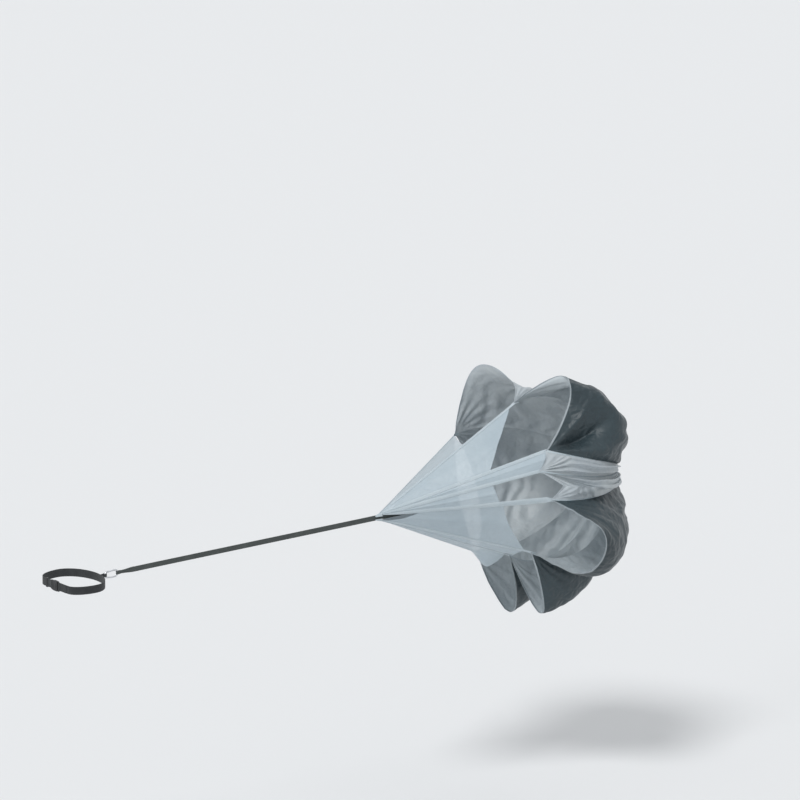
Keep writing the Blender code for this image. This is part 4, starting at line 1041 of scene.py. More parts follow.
    def turned_panel(self, hem: Array, across: Array) -> Array:
        """Return the lift of the panel that flares out along the hem beside the upper notch.

        Args:
            hem: Distances from the hem.
            across: Shares across the gore.

        Returns:
            The heights, outwards.
        """
        row = across[None]
        depth = self.panel_depth * ease(row, 0.0, 0.38) + 0.004
        fade = ease(row, 0.02, 0.25) * (1.0 - ease(row, self.panel_end - 0.1, self.panel_end + 0.08))
        swell = ease(row, 0.02, 0.12) * (1.0 - ease(row, 0.24, 0.40)) * ease(hem, 0.10, 0.18)
        swell = swell * (1.0 - ease(hem, 0.22, 0.42))
        swell = swell + 0.6 * ease(row, 0.20, 0.38) * (1.0 - ease(row, 0.50, 0.72)) * (
            1.0 - ease(hem, 0.10, 0.30))
        return self.panel_swell * swell + self.panel_lift * fade * np.maximum(1.0 - hem / depth, 0.0)

    def seam_tape(self, index: int) -> None:
        """Model the tape that covers a seam on the outside of the canopy.

        Args:
            index: The seam's number.
        """
        step = self.seam_tape_half
        share = np.linspace(self.crown_start * 3.0, 0.992, self.rows)
        line = self.form.meridian(SEAMS[index], share)
        sides = []
        for gore, across in ((index - 1, np.linspace(1.0, 0.7, 40)), (index, np.linspace(0.0, 0.3, 40))):
            dense = self.form.gore(gore, share, across)
            lengths = run_lengths(dense, 1)
            sides.append([np.array([[np.interp(min(reach, lengths[row, -1]), lengths[row],
                                               dense[row, :, axis]) for axis in range(3)]
                                    for row in range(self.rows)]) for reach in (step, step / 2.0)])
        grid = np.stack([*sides[0], line, *sides[1][::-1]], axis=1)
        normals = grid_normals(grid, np.array([self.form.mouth_x, 0.0, 0.0]))
        grid = grid + normals * self.seam_tape_lift
        run = run_lengths(grid[:, 2:3], 0)
        cloth = np.stack(np.broadcast_arrays(run, step * STRIP[None]), axis=-1)
        thick = np.full(grid.shape[:2], self.seam_tape_thickness)
        piece = ClothSheet(f"seam_tape_{index + 1}", grid, normals, thick, cloth).build([self.finishes.tape])
        dress_cloth(piece, Body.CANOPY, "", "pale_cloth", flat=(2.0 * step, float(run[-1, 0])), held="laid",
                    rests_on=[GORES[index].node])

    def crown_patch(self) -> None:
        """Model the sewn patch over the gores' tips."""
        centre = Vector(self.form.place(1.0, self.form.crown_offset, self.form.crown_offset))
        bpy.ops.mesh.primitive_cylinder_add(vertices=72, radius=self.patch_radius,
                                            depth=self.patch_thickness, end_fill_type="NGON",
                                            location=centre + Vector((0.0014, 0.0, 0.0)),
                                            rotation=(0.0, math.pi / 2.0, 0.0))
        piece = Bench.settle("crown_patch_cloth")
        Bench.inset(piece, lambda centre, normal: abs(normal.x) > 0.9,
                    (0.0035, -0.0001), (0.0012, -0.0001), (0.0120, -0.0001))
        Bench.round_edges(piece, 0.0003, 2)
        Bench.map_flat(piece, 1, 2)
        piece.data.materials.append(self.finishes.nylon["binding"])
        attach(piece, Body.CANOPY.value)
        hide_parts("crown_patch")


@dataclass
class Suspension:
    """The eight tapes and the eight sails between them, and the two gathers at the tow line."""

    form: CanopyForm
    finishes: Finishes
    tape_width: float = 0.016
    tape_front_width: float = 0.0034
    tape_thickness: float = 0.0010
    tape_front: float = 0.12
    wing_share: float = 0.36
    fold_end: float = 0.975
    tab_length: float = 0.024
    tab_seat: float = 0.0009
    banded: int = 4
    band: float = 0.9
    stack: float = 0.0010
    sail_cloth: float = 0.0004
    sail_rows: int = 90
    sail_columns: int = 44
    billow: float = 0.013
    gather_length: float = 0.034
    gather_height: float = 0.015
    gather_overlap: float = 0.007
    gather_tip: float = 0.32
    gather_share: float = 0.68
    gather_thickness: float = 0.0011
    gather_pleat: float = 0.09
    sail_spare: float = 1.6
    sail_seam: float = 0.003
    sail_fold: float = 0.16
    sail_crinkle: float = 0.0016

    def build(self) -> None:
        """Build and dress every piece of the suspension."""
        for index in range(len(SEAMS)):
            self.tape(index)
            self.sail(index)
        for side, node in ((Side.UPPER, "gather_upper"), (Side.LOWER, "gather_lower")):
            self.gather(side, node)

    def ridge_frame(self, index: int, share: Array) -> tuple[Array, ...]:
        """Return a tape's fold line, its outward normal and its two sails' directions.

        Args:
            index: The tape's number.
            share: Shares along it.

        Returns:
            Points, normals, and unit directions towards the sails before and after it.
        """
        here = self.form.ridge(index, share)
        ends = self.form.ridge(index, np.array([0.0, 1.0]))
        along = (ends[1] - ends[0]) / np.linalg.norm(ends[1] - ends[0])
        before = self.form.ridge(index - 1, share) - here
        after = self.form.ridge(index + 1, share) - here
        before = unit(before - along * (before @ along)[..., None])
        after = unit(after - along * (after @ along)[..., None])
        normal = unit(np.cross(along, after - before))
        middle = sum(self.form.ridge(other, share) for other in range(len(SEAMS))) / len(SEAMS)
        if np.sum(normal * (here - middle)) < 0.0:
            normal = -normal
        return here, normal, before, after

    def wing(self, index: int, share: Array, neighbour: int) -> Array:
        """Return how far a tape reaches from its fold towards a neighbouring tape.

        Args:
            index: The tape's number.
            share: Shares along it.
            neighbour: The neighbour's number.

        Returns:
            The reaches.
        """
        grown = np.minimum(1.0, share / self.tape_front)
        full = (self.tape_front_width + (self.tape_width - self.tape_front_width) * grown) / 2.0
        if index == self.banded:
            full = full * (1.0 + self.band * ease(share, 0.45, 0.92))
        gap = np.linalg.norm(self.form.ridge(neighbour, share) - self.form.ridge(index, share), axis=-1)
        return np.minimum(full, gap * self.wing_share)

    def wall_frame(self, index: int, share: float) -> tuple[Array, Array, Array, float]:
        """Return a canopy seam's point, side and inward directions, and how far its gores lean in.

        Args:
            index: The seam's number.
            share: How far it is along the seam.

        Returns:
            The point, the two unit directions and the lean.
        """
        step = 1.0 / 12.0
        at = np.array([share])
        here = self.form.meridian(SEAMS[index], at)[0]
        before = unit(self.form.gore(index - 1, at, np.array([1.0 - step]))[0, 0] - here)
        after = unit(self.form.gore(index, at, np.array([step]))[0, 0] - here)
        side = unit(after - before)
        tangent = self.form.meridian(SEAMS[index], at * (1.0 - step))[0] - here
        inward = unit(np.cross(side, tangent))
        if inward @ np.array([0.0, here[1], here[2]]) > 0.0:
            inward = -inward
        return here, side, inward, max(0.0, float(after @ inward), float(before @ inward))

    def tape(self, index: int) -> None:
        """Model a tape folded over the sails' seam, with its tab sewn inside the hem.

        Args:
            index: The tape's number.
        """
        share = np.linspace(0.0, self.fold_end, 70)
        here, normal, before, after = self.ridge_frame(index, share)
        centre = here + normal * (self.stack * 2.0 / np.linalg.norm(after - before, axis=-1))[:, None]
        left = self.wing(index, share, index - 1)[:, None]
        right = self.wing(index, share, index + 1)[:, None]
        rows = np.stack([centre + before * left, centre + before * left / 2.0, centre,
                         centre + after * right / 2.0, centre + after * right], axis=1)
        inner = 1.0 - (1.0 - 0.012) / 12.0
        hem, hem_side, hem_in, hem_lean = self.wall_frame(index, 1.0)
        top, top_side, top_in, top_lean = self.wall_frame(index, inner)
        half = self.tape_width / 2.0
        gap = self.tape_thickness / 2.0 + self.tab_seat + max(hem_lean, top_lean) * half
        tab = []
        for step in range(9):
            reach = self.tab_length * step / 8.0 / np.linalg.norm(top - hem)
            side = unit(hem_side * (1.0 - reach) + top_side * reach)
            middle = (hem * (1.0 - reach) + top * reach
                      + unit(hem_in * (1.0 - reach) + top_in * reach) * gap)
            tab.append([middle + side * half * part for part in STRIP])
        grid = np.concatenate([rows, np.array(tab)])
        normals = grid_normals(grid, np.mean(grid, axis=(0, 1)) * np.array([1.0, 0.0, 0.0]))
        run = run_lengths(grid[:, 2:3], 0)
        widths = np.concatenate([np.concatenate([-left, -left / 2.0, 0.0 * left, right / 2.0, right], axis=1),
                                 np.tile(half * STRIP, (9, 1))])
        cloth = np.stack([np.broadcast_to(run, widths.shape), widths], axis=-1)
        thick = np.full(grid.shape[:2], self.tape_thickness)
        name = f"tape_{index + 1}"
        piece = ClothSheet(name + "_webbing", grid, normals, thick, cloth).build([self.finishes.tape])
        dress_cloth(piece, Body.CANOPY, name, "pale_cloth", flat=(self.tape_width, float(run[-1, 0])),
                    held="stretched", rests_on=[f"sail_{index + 1}"])

    def sail(self, index: int) -> None:
        """Model a taut, faintly creased sail with rows of stitches along its edges.

        Args:
            index: The sail's number.
        """
        sail = SAILS[index]
        hem_a, hem_middle, hem_b = sail.hem
        bend = 2.0 * hem_middle - (hem_a + hem_b) / 2.0
        along = np.linspace(0.0, 1.0, self.sail_rows) ** 1.3
        shares = [sail.front[side] + (sail.hem[2 * side] - sail.front[side]) * along for side in (0, 1)]
        strips = []
        for side, own, other in ((0, index, index + 1), (1, index + 1, index)):
            width = np.linalg.norm(self.form.ridge(other, shares[side]) - self.form.ridge(own, shares[side]),
                                   axis=-1)
            strips.append(np.minimum(self.wing_share,
                                     (self.wing(own, shares[side], other) + self.sail_seam) / width))
        middle = np.linspace(0.0, 1.0, self.sail_columns - 2)
        spread = strips[0][:, None] + (1.0 - strips[0] - strips[1])[:, None] * middle[None]
        edge = np.full((self.sail_rows, 1), 0.0005)
        across = np.concatenate([edge, spread, 1.0 - edge], axis=1)
        middle = np.concatenate([[0.0], middle, [1.0]])
        rest = 1.0 - across
        front = sail.front[0] * rest + sail.front[1] * across
        hem = hem_a * rest ** 2 + bend * 2.0 * across * rest + hem_b * across ** 2
        share = front + (hem - front) * along[:, None]
        first, first_normal, _, _ = self.ridge_frame(index, share)
        second, second_normal, _, _ = self.ridge_frame(index + 1, share)
        width = np.linalg.norm(second - first, axis=-1)
        outward = unit(first_normal + second_normal)
        grid = first * rest[..., None] + second * across[..., None]
        billow = np.minimum(self.billow * share, 0.07 * width)
        shape = np.sin(math.pi * middle)[None] ** 2
        fold = np.sin(2.0 * math.pi * (2.5 * middle[None] + 0.35 * cloth_noise(grid, 0.25, 3 + index)))
        fine = cloth_noise(grid, 0.05, 13 + index)
        billow = billow * shape * (1.0 + self.sail_fold * fold)
        billow = billow + sail.sag * ease(share, 0.85, 0.99) * np.sqrt(shape)
        lift = billow + self.sail_crinkle * shape * fine * np.clip(width / 0.15, 0.0, 1.0)
        grid = grid + outward * lift[..., None]
        normals = grid_normals(grid, np.mean(grid, axis=(0, 1)) * np.array([1.0, 0.0, 0.0]))
        lengths, run = run_lengths(grid, 1), run_lengths(grid, 0)
        cloth = np.stack([lengths - lengths[:, -1:] / 2.0, run], axis=-1)
        edges = np.stack([np.minimum(lengths, lengths[:, -1:] - lengths), run[-1:] - run], axis=-1)
        thick = np.full(grid.shape[:2], self.sail_cloth)
        name, reach = f"sail_{index + 1}", float(run[-1].max())
        piece = ClothSheet(name + "_cloth", grid, normals, thick, cloth,
                           edges).build([self.finishes.nylon["sail"]])
        dress_cloth(piece, Body.CANOPY, name, "sail_cloth",
                    flat=(sail.flat_area / reach * self.sail_spare, reach), held="stretched",
                    area=sail.flat_area, rests_on=[f"tape_{index + 1}"])

    def gather(self, side: Side, node: str) -> None:
        """Model the pleated, sewn fold that holds the front ends of the tapes.

        Args:
            side: Which of the two it is.
            node: The CAD node that it replaces.
        """
        rows, columns, sign = 16, 97, side.value
        along = np.linspace(0.0, 1.0, rows)[:, None]
        angle = np.linspace(0.0, math.pi, columns)[None]
        size = self.gather_tip + (1.0 - self.gather_tip) * along ** 0.9
        pleat = 1.0 - self.gather_pleat * (0.5 + 0.5 * np.cos(14.0 * angle)) * along
        x = self.form.apex_x - 0.0003 - self.gather_length * (1.0 - along) + 0.0 * angle
        y = self.form.gather_half_width * size * pleat * np.cos(angle)
        base = self.form.strap_half_width - self.gather_overlap
        z = sign * (base + self.gather_height * size * pleat * np.sin(angle))
        grid = np.stack([x, y, z], axis=-1)
        normals = grid_normals(grid, np.array([self.form.apex_x, 0.0, sign * base]))
        inner = np.array([self.form.apex_x - self.gather_length * 0.5, 0.0, sign * base])
        grid = inner + (grid - inner) * np.array([1.0, 0.96, 0.96])
        run, width = run_lengths(grid, 0), run_lengths(grid, 1)
        cloth = np.stack([run, width - width[:, -1:] / 2.0], axis=-1)
        thick = np.full(grid.shape[:2], self.gather_thickness)
        piece = ClothSheet(node + "_cloth", grid, normals, thick, cloth).build([self.finishes.tape])
        broad, tall = float(width[-1, -1]), self.gather_length + 0.002
        dress_cloth(piece, Body.CANOPY, node, "pale_cloth", flat=(broad, tall), held="gathered",
                    area=self.gather_share * broad * tall, rests_on=["tow_sewn_end"])


# Modelling bench


class Bench:
    """The editing operators that shape the rigid pieces."""

    @staticmethod
    def only(piece: Piece) -> None:
        """Select one piece and make it active.

        Args:
            piece: The piece.
        """
        bpy.ops.object.select_all(action="DESELECT")
        piece.select_set(True)
        bpy.context.view_layer.objects.active = piece

    @staticmethod
    def block(name: str, low: Sequence[float], high: Sequence[float]) -> Piece:
        """Add a block between its lowest and its highest corner.

        Args:
            name: Its name.
            low: The lowest corner.
            high: The highest corner.

        Returns:
            The block.
        """
        low, high = Vector(low), Vector(high)
        bpy.ops.mesh.primitive_cube_add(size=1.0, location=(low + high) / 2.0, scale=high - low)
        return Bench.settle(name)

    @staticmethod
    def rod(name: str, radius: float, start: Vector, end: Vector, sides: int = 48) -> Piece:
        """Add a round rod between the middles of its two ends.

        Args:
            name: Its name.
            radius: Its radius.
            start: The middle of one end.
            end: The middle of the other.
            sides: How many sides stand for the round.

        Returns:
            The rod.
        """
        run = end - start
        bpy.ops.mesh.primitive_cylinder_add(vertices=sides, radius=radius, depth=run.length,
                                            location=(start + end) / 2.0,
                                            rotation=run.to_track_quat("Z", "Y").to_euler())
        return Bench.settle(name)

    @staticmethod
    def settle(name: str) -> Piece:
        """Name the new object and put its place into its mesh.

        Args:
            name: Its name.

        Returns:
            The object.
        """
        piece = bpy.context.object
        piece.name = name
        bpy.ops.object.transform_apply(location=True, rotation=True, scale=True)
        return piece

    @staticmethod
    def slab(name: str, centre: Vector, direction: Vector, size: Sequence[float]) -> Piece:
        """Add a block in the hook's plane, its length along a direction and its width along Y."""
        bpy.ops.mesh.primitive_cube_add(size=1.0, location=centre, scale=size,
                                        rotation=(0.0, -math.atan2(direction.z, direction.x), 0.0))
        return Bench.settle(name)

    @staticmethod
    def pick_faces(piece: Piece, wanted: Callable[[Vector, Vector], bool]) -> None:
        """Open a piece in edit mode with only some faces selected.

        Args:
            piece: The piece.
            wanted: Whether a face is, by its centre and normal.
        """
        Bench.only(piece)
        bpy.ops.object.mode_set(mode="EDIT")
        bpy.ops.mesh.select_mode(type="FACE")
        bpy.ops.mesh.select_all(action="DESELECT")
        bpy.ops.object.mode_set(mode="OBJECT")
        for face in piece.data.polygons:
            face.select = wanted(face.center, face.normal)
        bpy.ops.object.mode_set(mode="EDIT")

    @staticmethod
    def inset(piece: Piece, wanted: Callable[[Vector, Vector], bool], *steps: Shares2) -> None:
        """Inset some faces one or more times.

        Args:
            piece: The piece.
            wanted: Whether a face is inset, by its centre and normal.
            *steps: The width and the depth of each inset.
        """
        Bench.pick_faces(piece, wanted)
        for width, depth in steps:
            bpy.ops.mesh.inset(thickness=width, depth=depth)
        Bench.close_edit()

    @staticmethod
    def close_edit() -> None:
        """Leave edit mode."""
        bpy.ops.object.mode_set(mode="OBJECT")

    @staticmethod
    def apply(piece: Piece, kind: str, **settings: object) -> None:
        """Add a modifier, with its properties, and apply it.

        Args:
            piece: The piece.
            kind: The modifier's type.
            **settings: Its properties.
        """
        Bench.only(piece)
        step = piece.modifiers.new(kind.title(), kind)
        for name, value in settings.items():
            setattr(step, name, value)
        bpy.ops.object.modifier_apply(modifier=step.name)

    @staticmethod
    def carve(piece: Piece, tool: Piece, operation: str = "DIFFERENCE") -> None:
        """Cut a tool out of a piece, or join it on, and drop the tool."""
        Bench.apply(piece, "BOOLEAN", operation=operation, object=tool, solver="EXACT")
        bpy.data.objects.remove(tool, do_unlink=True)

    @staticmethod
    def round_edges(piece: Piece, width: float, segments: int = 3, degrees: float = 35.0) -> None:
        """Round a piece's sharp edges and shade it."""
        Bench.apply(piece, "BEVEL", width=width, segments=segments, limit_method="ANGLE",
                    angle_limit=math.radians(degrees), use_clamp_overlap=True)
        mark_sharp(piece, 30.0)

    @staticmethod
    def map_flat(piece: Piece, first: int, second: int) -> None:
        """Write the cloth's UV maps from two of a flat piece's axes.

        Args:
            piece: The piece.
            first: The axis that gives U.
            second: The axis that gives V.
        """
        corners = np.array([piece.data.vertices[loop.vertex_index].co[:] for loop in piece.data.loops])
        for layer in list(piece.data.uv_layers):
            piece.data.uv_layers.remove(layer)
        ClothSheet.paint(piece.data, "cloth", corners[:, [first, second]])
        ClothSheet.paint(piece.data, "edges", np.full((len(corners), 2), 0.05))

    @staticmethod
    def dress(piece: Piece, material: Material, body: Body, slot: str,
              *nodes: str) -> Piece:
        """Give a piece its finish, its body and the nodes that it stands for.

        Args:
            piece: The piece.
            material: Its finish.
            body: The body that it rides on.
            slot: The record's slot; not used.
            *nodes: The CAD nodes that it replaces.

        Returns:
            The piece.
        """
        piece.data.materials.clear()
        piece.data.materials.append(material)
        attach(piece, body.value)
        if nodes:
            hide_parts(*nodes)
        LOG.info("%s: %d faces on %s", piece.name, len(piece.data.polygons), body.value)
        return piece


# Webbing and thread


@dataclass
class Strap:
    """Webbing along a run in plan, with its width upright."""

    name: str
    plan: list[Vector]
    half_widths: list[float]
    thickness: float
    columns: int = 15

    def spread(self) -> Array:
        """Return the columns' places across the strap, from -1 to 1 and closer at its edges."""
        return np.sin(np.linspace(-0.5, 0.5, self.columns) * math.pi)

    def grid(self) -> tuple[Array, Array]:
        """Return the strap's points and their normals.

        Returns:
            Both, by place along the run and then across.
        """
        run = np.array([(point.x, point.y, 0.0) for point in self.plan])
        tangent = np.gradient(run, axis=0)
        tangent /= np.linalg.norm(tangent, axis=-1, keepdims=True)
        normal = np.stack([-tangent[:, 1], tangent[:, 0], 0.0 * tangent[:, 0]], axis=-1)
        grid = np.repeat(run[:, None], self.columns, axis=1)
        grid[..., 2] = np.array(self.half_widths)[:, None] * self.spread()[None]
        return grid, np.repeat(normal[:, None], self.columns, axis=1)

    def build(self, material: Material, grid: Array, normals: Array) -> Piece:
        """Make the strap's mesh, thinner along its selvedges.

        Args:
            material: Its finish.
            grid: Its points.
            normals: Their normals.

        Returns:
            The strap.
        """
        edge = np.maximum((np.abs(self.spread()) - 0.93) / 0.075, 0.0)
        selvedge = np.sqrt(np.maximum(1.0 - edge ** 2, 0.0))
        thick = np.tile(self.thickness * np.maximum(selvedge, 0.35), (len(grid), 1))
        run = run_lengths(grid[:, self.columns // 2:self.columns // 2 + 1], 0)
        cloth = np.stack([np.broadcast_to(run, grid.shape[:2]), grid[..., 2]], axis=-1)
        return ClothSheet(self.name, grid, normals, thick, cloth).build([material])

    def sew(self, material: Material, node: str, rests_on: str) -> None:
        """Make the strap as a part of the belt.

        Args:
            material: Its finish.
            node: The CAD node that it replaces.
            rests_on: The node that it lies on.
        """
        piece = self.build(material, *self.grid())
        dress_cloth(piece, Body.BELT, node, "webbing", flat=(2.0 * self.half_widths[0], self.length()),
                    held="stretched", rests_on=[rests_on])
        LOG.info("%s: %.3f m of webbing", self.name, self.length())

    def length(self) -> float:
        """Return the run's length."""
        return sum((after - before).length for before, after in zip(self.plan, self.plan[1:]))


@dataclass
class Thread:
    """Rows of stitches, each a short bead of thread."""

    name: str
    length: float = 0.0030
    gap: float = 0.0011
    width: float = 0.00075
    rows: list[tuple[Vector, Vector, Vector]] = field(default_factory=list)

    def line(self, start: Sequence[float], end: Sequence[float], normal: Sequence[float]) -> None:
        """Add a row between two points, on a face that looks along a normal."""
        self.rows.append((Vector(start), Vector(end), Vector(normal).normalized()))

    def boxed_cross(self, corner: Sequence[float], along: Sequence[float], up: Sequence[float],
                    normal: Sequence[float]) -> None:
        """Add a box of stitches with a cross in it.

        Args:
            corner: One corner.
            along: The side from it along the strap.
            up: The side from it across the strap.
            normal: Where the face looks.
        """
        first = Vector(corner)
        second, third = first + Vector(along), first + Vector(up)
        fourth = second + Vector(up)
        for start, end in ((first, second), (second, fourth), (fourth, third), (third, first),
                           (first, fourth), (second, third)):
            self.line(start, end, normal)

    def build(self, material: Material, body: Body) -> Piece:
        """Make all the stitches as one piece.

        Args:
            material: The thread's finish.
            body: The body that they ride on.

        Returns:
            The stitches.
        """
        bpy.ops.mesh.primitive_uv_sphere_add(segments=6, ring_count=4, radius=0.5)
        bead = bpy.context.object
        base = np.array([vertex.co[:] for vertex in bead.data.vertices])
        shell = [list(face.vertices) for face in bead.data.polygons]
        bpy.data.objects.remove(bead, do_unlink=True)
        points, faces = [], []
        for start, end, normal in self.rows:
            run = end - start
            count = max(1, round(run.length / (self.length + self.gap)))
            way = run.normalized()
            side = normal.cross(way).normalized()
            turn = np.array([way[:], side[:], normal[:]])
            size = np.array([run.length / count - self.gap, self.width, self.width * 0.8])
            for index in range(count):
                middle = np.array((start + run * ((index + 0.5) / count))[:])
                faces += [[corner + len(points) for corner in face] for face in shell]
                points += ((base * size) @ turn + middle).tolist()
        mesh = bpy.data.meshes.new(self.name)
        mesh.from_pydata(points, [], faces)
        mesh.polygons.foreach_set("use_smooth", np.ones(len(faces), bool))
        return Bench.dress(add_object(self.name, mesh), material, body, "webbing")


def eye_path(centre: Shares2, way: float, radius: float, ply: float, flare: float, reach: float,
             steps: int = 40) -> list[Vector]:
    """Return the plan of a strap that comes in, wraps a round bar and goes back beside itself.

    Args:
        centre: The bar's middle.
        way: 1 where the strap comes from +X, -1 where it comes from -X.
        radius: The radius of the strap's middle round the bar.
        ply: How far each run's middle lies from the centre line.
        flare: Where the runs come together, from the bar.
        reach: How far each goes past that.
        steps: How finely the wrap is drawn.

    Returns:
        The points.
    """
    middle = Vector(centre)
    near = Vector((flare, ply))
    touch = math.atan2(near.y, near.x) + math.acos(radius / near.length)
    local = [Vector((flare + reach * (1.0 - step / 12.0), ply)) for step in range(12)] + [near]
    for index in range(steps + 1):
        angle = touch + (2.0 * math.pi - 2.0 * touch) * index / steps
        local.append(Vector((math.cos(angle), math.sin(angle))) * radius)
    local += [Vector((flare, -ply))]
    local += [Vector((flare + reach * (step + 1) / 12.0, -ply)) for step in range(12)]
    return [middle + Vector((way * point.x, way * point.y)) for point in local]


# Tow line


@dataclass
class TowLine:
    """The tow line: its eye round the hook, its long run and the end sewn to the gathers."""

    finishes: Finishes
    width: float = 0.025
    thickness: float = 0.0016
    eye_width: float = 0.0155
    eye_x: float = 0.2318
    eye_radius: float = 0.0061
    hook_radius: float = 0.016
    flare: float = 0.022
    fold_back: float = 0.070
    merge: float = 0.12
    apex_x: float = 1.7378
    inner_end: float = 0.165
    ply: float = 0.00095

    def build(self) -> None:
        """Build the strap and its stitching."""
        plan = eye_path((self.eye_x, 0.0), 1.0, self.eye_radius, self.ply, self.flare, self.fold_back)
        eye_points = len(plan)
        start = plan[-1].x
        for step in range(1, 13):
            share = step / 12.0
            plan.append(Vector((start + self.merge * share, -self.ply * (1.0 - ease(share, 0.0, 1.0)))))
        here, end = plan[-1].x, self.apex_x + self.inner_end
        steps = 150
        plan += [Vector((here + (end - here) * step / steps, 0.0)) for step in range(1, steps + 1)]
        full, drawn = self.width / 2.0, self.eye_width / 2.0
        eye_end = self.eye_x + self.flare
        widths = []
        for index, point in enumerate(plan):
            share = ease(point.x, eye_end, eye_end + self.fold_back)
            widths.append(drawn + (full - drawn) * share if index < eye_points else full)
        strap = Strap("tow_strap", plan, widths, self.thickness)
        grid, normals = strap.grid()
        fade = np.clip((eye_end - grid[..., 0]) / self.flare, 0.0, 1.0)
        drop = self.hook_radius - np.sqrt(self.hook_radius ** 2 - grid[..., 2] ** 2)
        grid[..., 0] -= drop * fade
        piece = strap.build(self.finishes.tow, grid, normals)
        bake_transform(piece)
        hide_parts("tow_webbing", "tow_sewn_end")
        LOG.info("tow_strap: %.3f m of webbing", strap.length())
        self.stitching()

    def stitching(self) -> None:
        """Sew the fold-back with a boxed cross and the inner end with two rows."""
        start = self.eye_x + self.flare + 0.016
        eye = Thread("tow_eye_stitches")
        for side in (-1.0, 1.0):
            face = side * (self.ply + self.thickness / 2.0)
            eye.boxed_cross((start, face, -0.0078), (0.044, 0.0, 0.0), (0.0, 0.0, 0.0156), (0.0, side, 0.0))
            eye.line((start - 0.006, face, -0.0062), (start - 0.006, face, 0.0062), (0.0, side, 0.0))
        eye.build(self.finishes.black_thread, Body.TOW)
        end = Thread("tow_end_stitches")
        for side in (-1.0, 1.0):
            face = side * self.thickness / 2.0
            for height in (-0.0085, 0.0085):
                end.line((self.apex_x - 0.030, face, height),
                         (self.apex_x + self.inner_end - 0.006, face, height), (0.0, side, 0.0))
            for place in (0.020, 0.060, 0.155):
                end.line((self.apex_x + place, face, -0.0085), (self.apex_x + place, face, 0.0085),
                         (0.0, side, 0.0))
        end.build(self.finishes.black_thread, Body.CANOPY)


# Snap hook


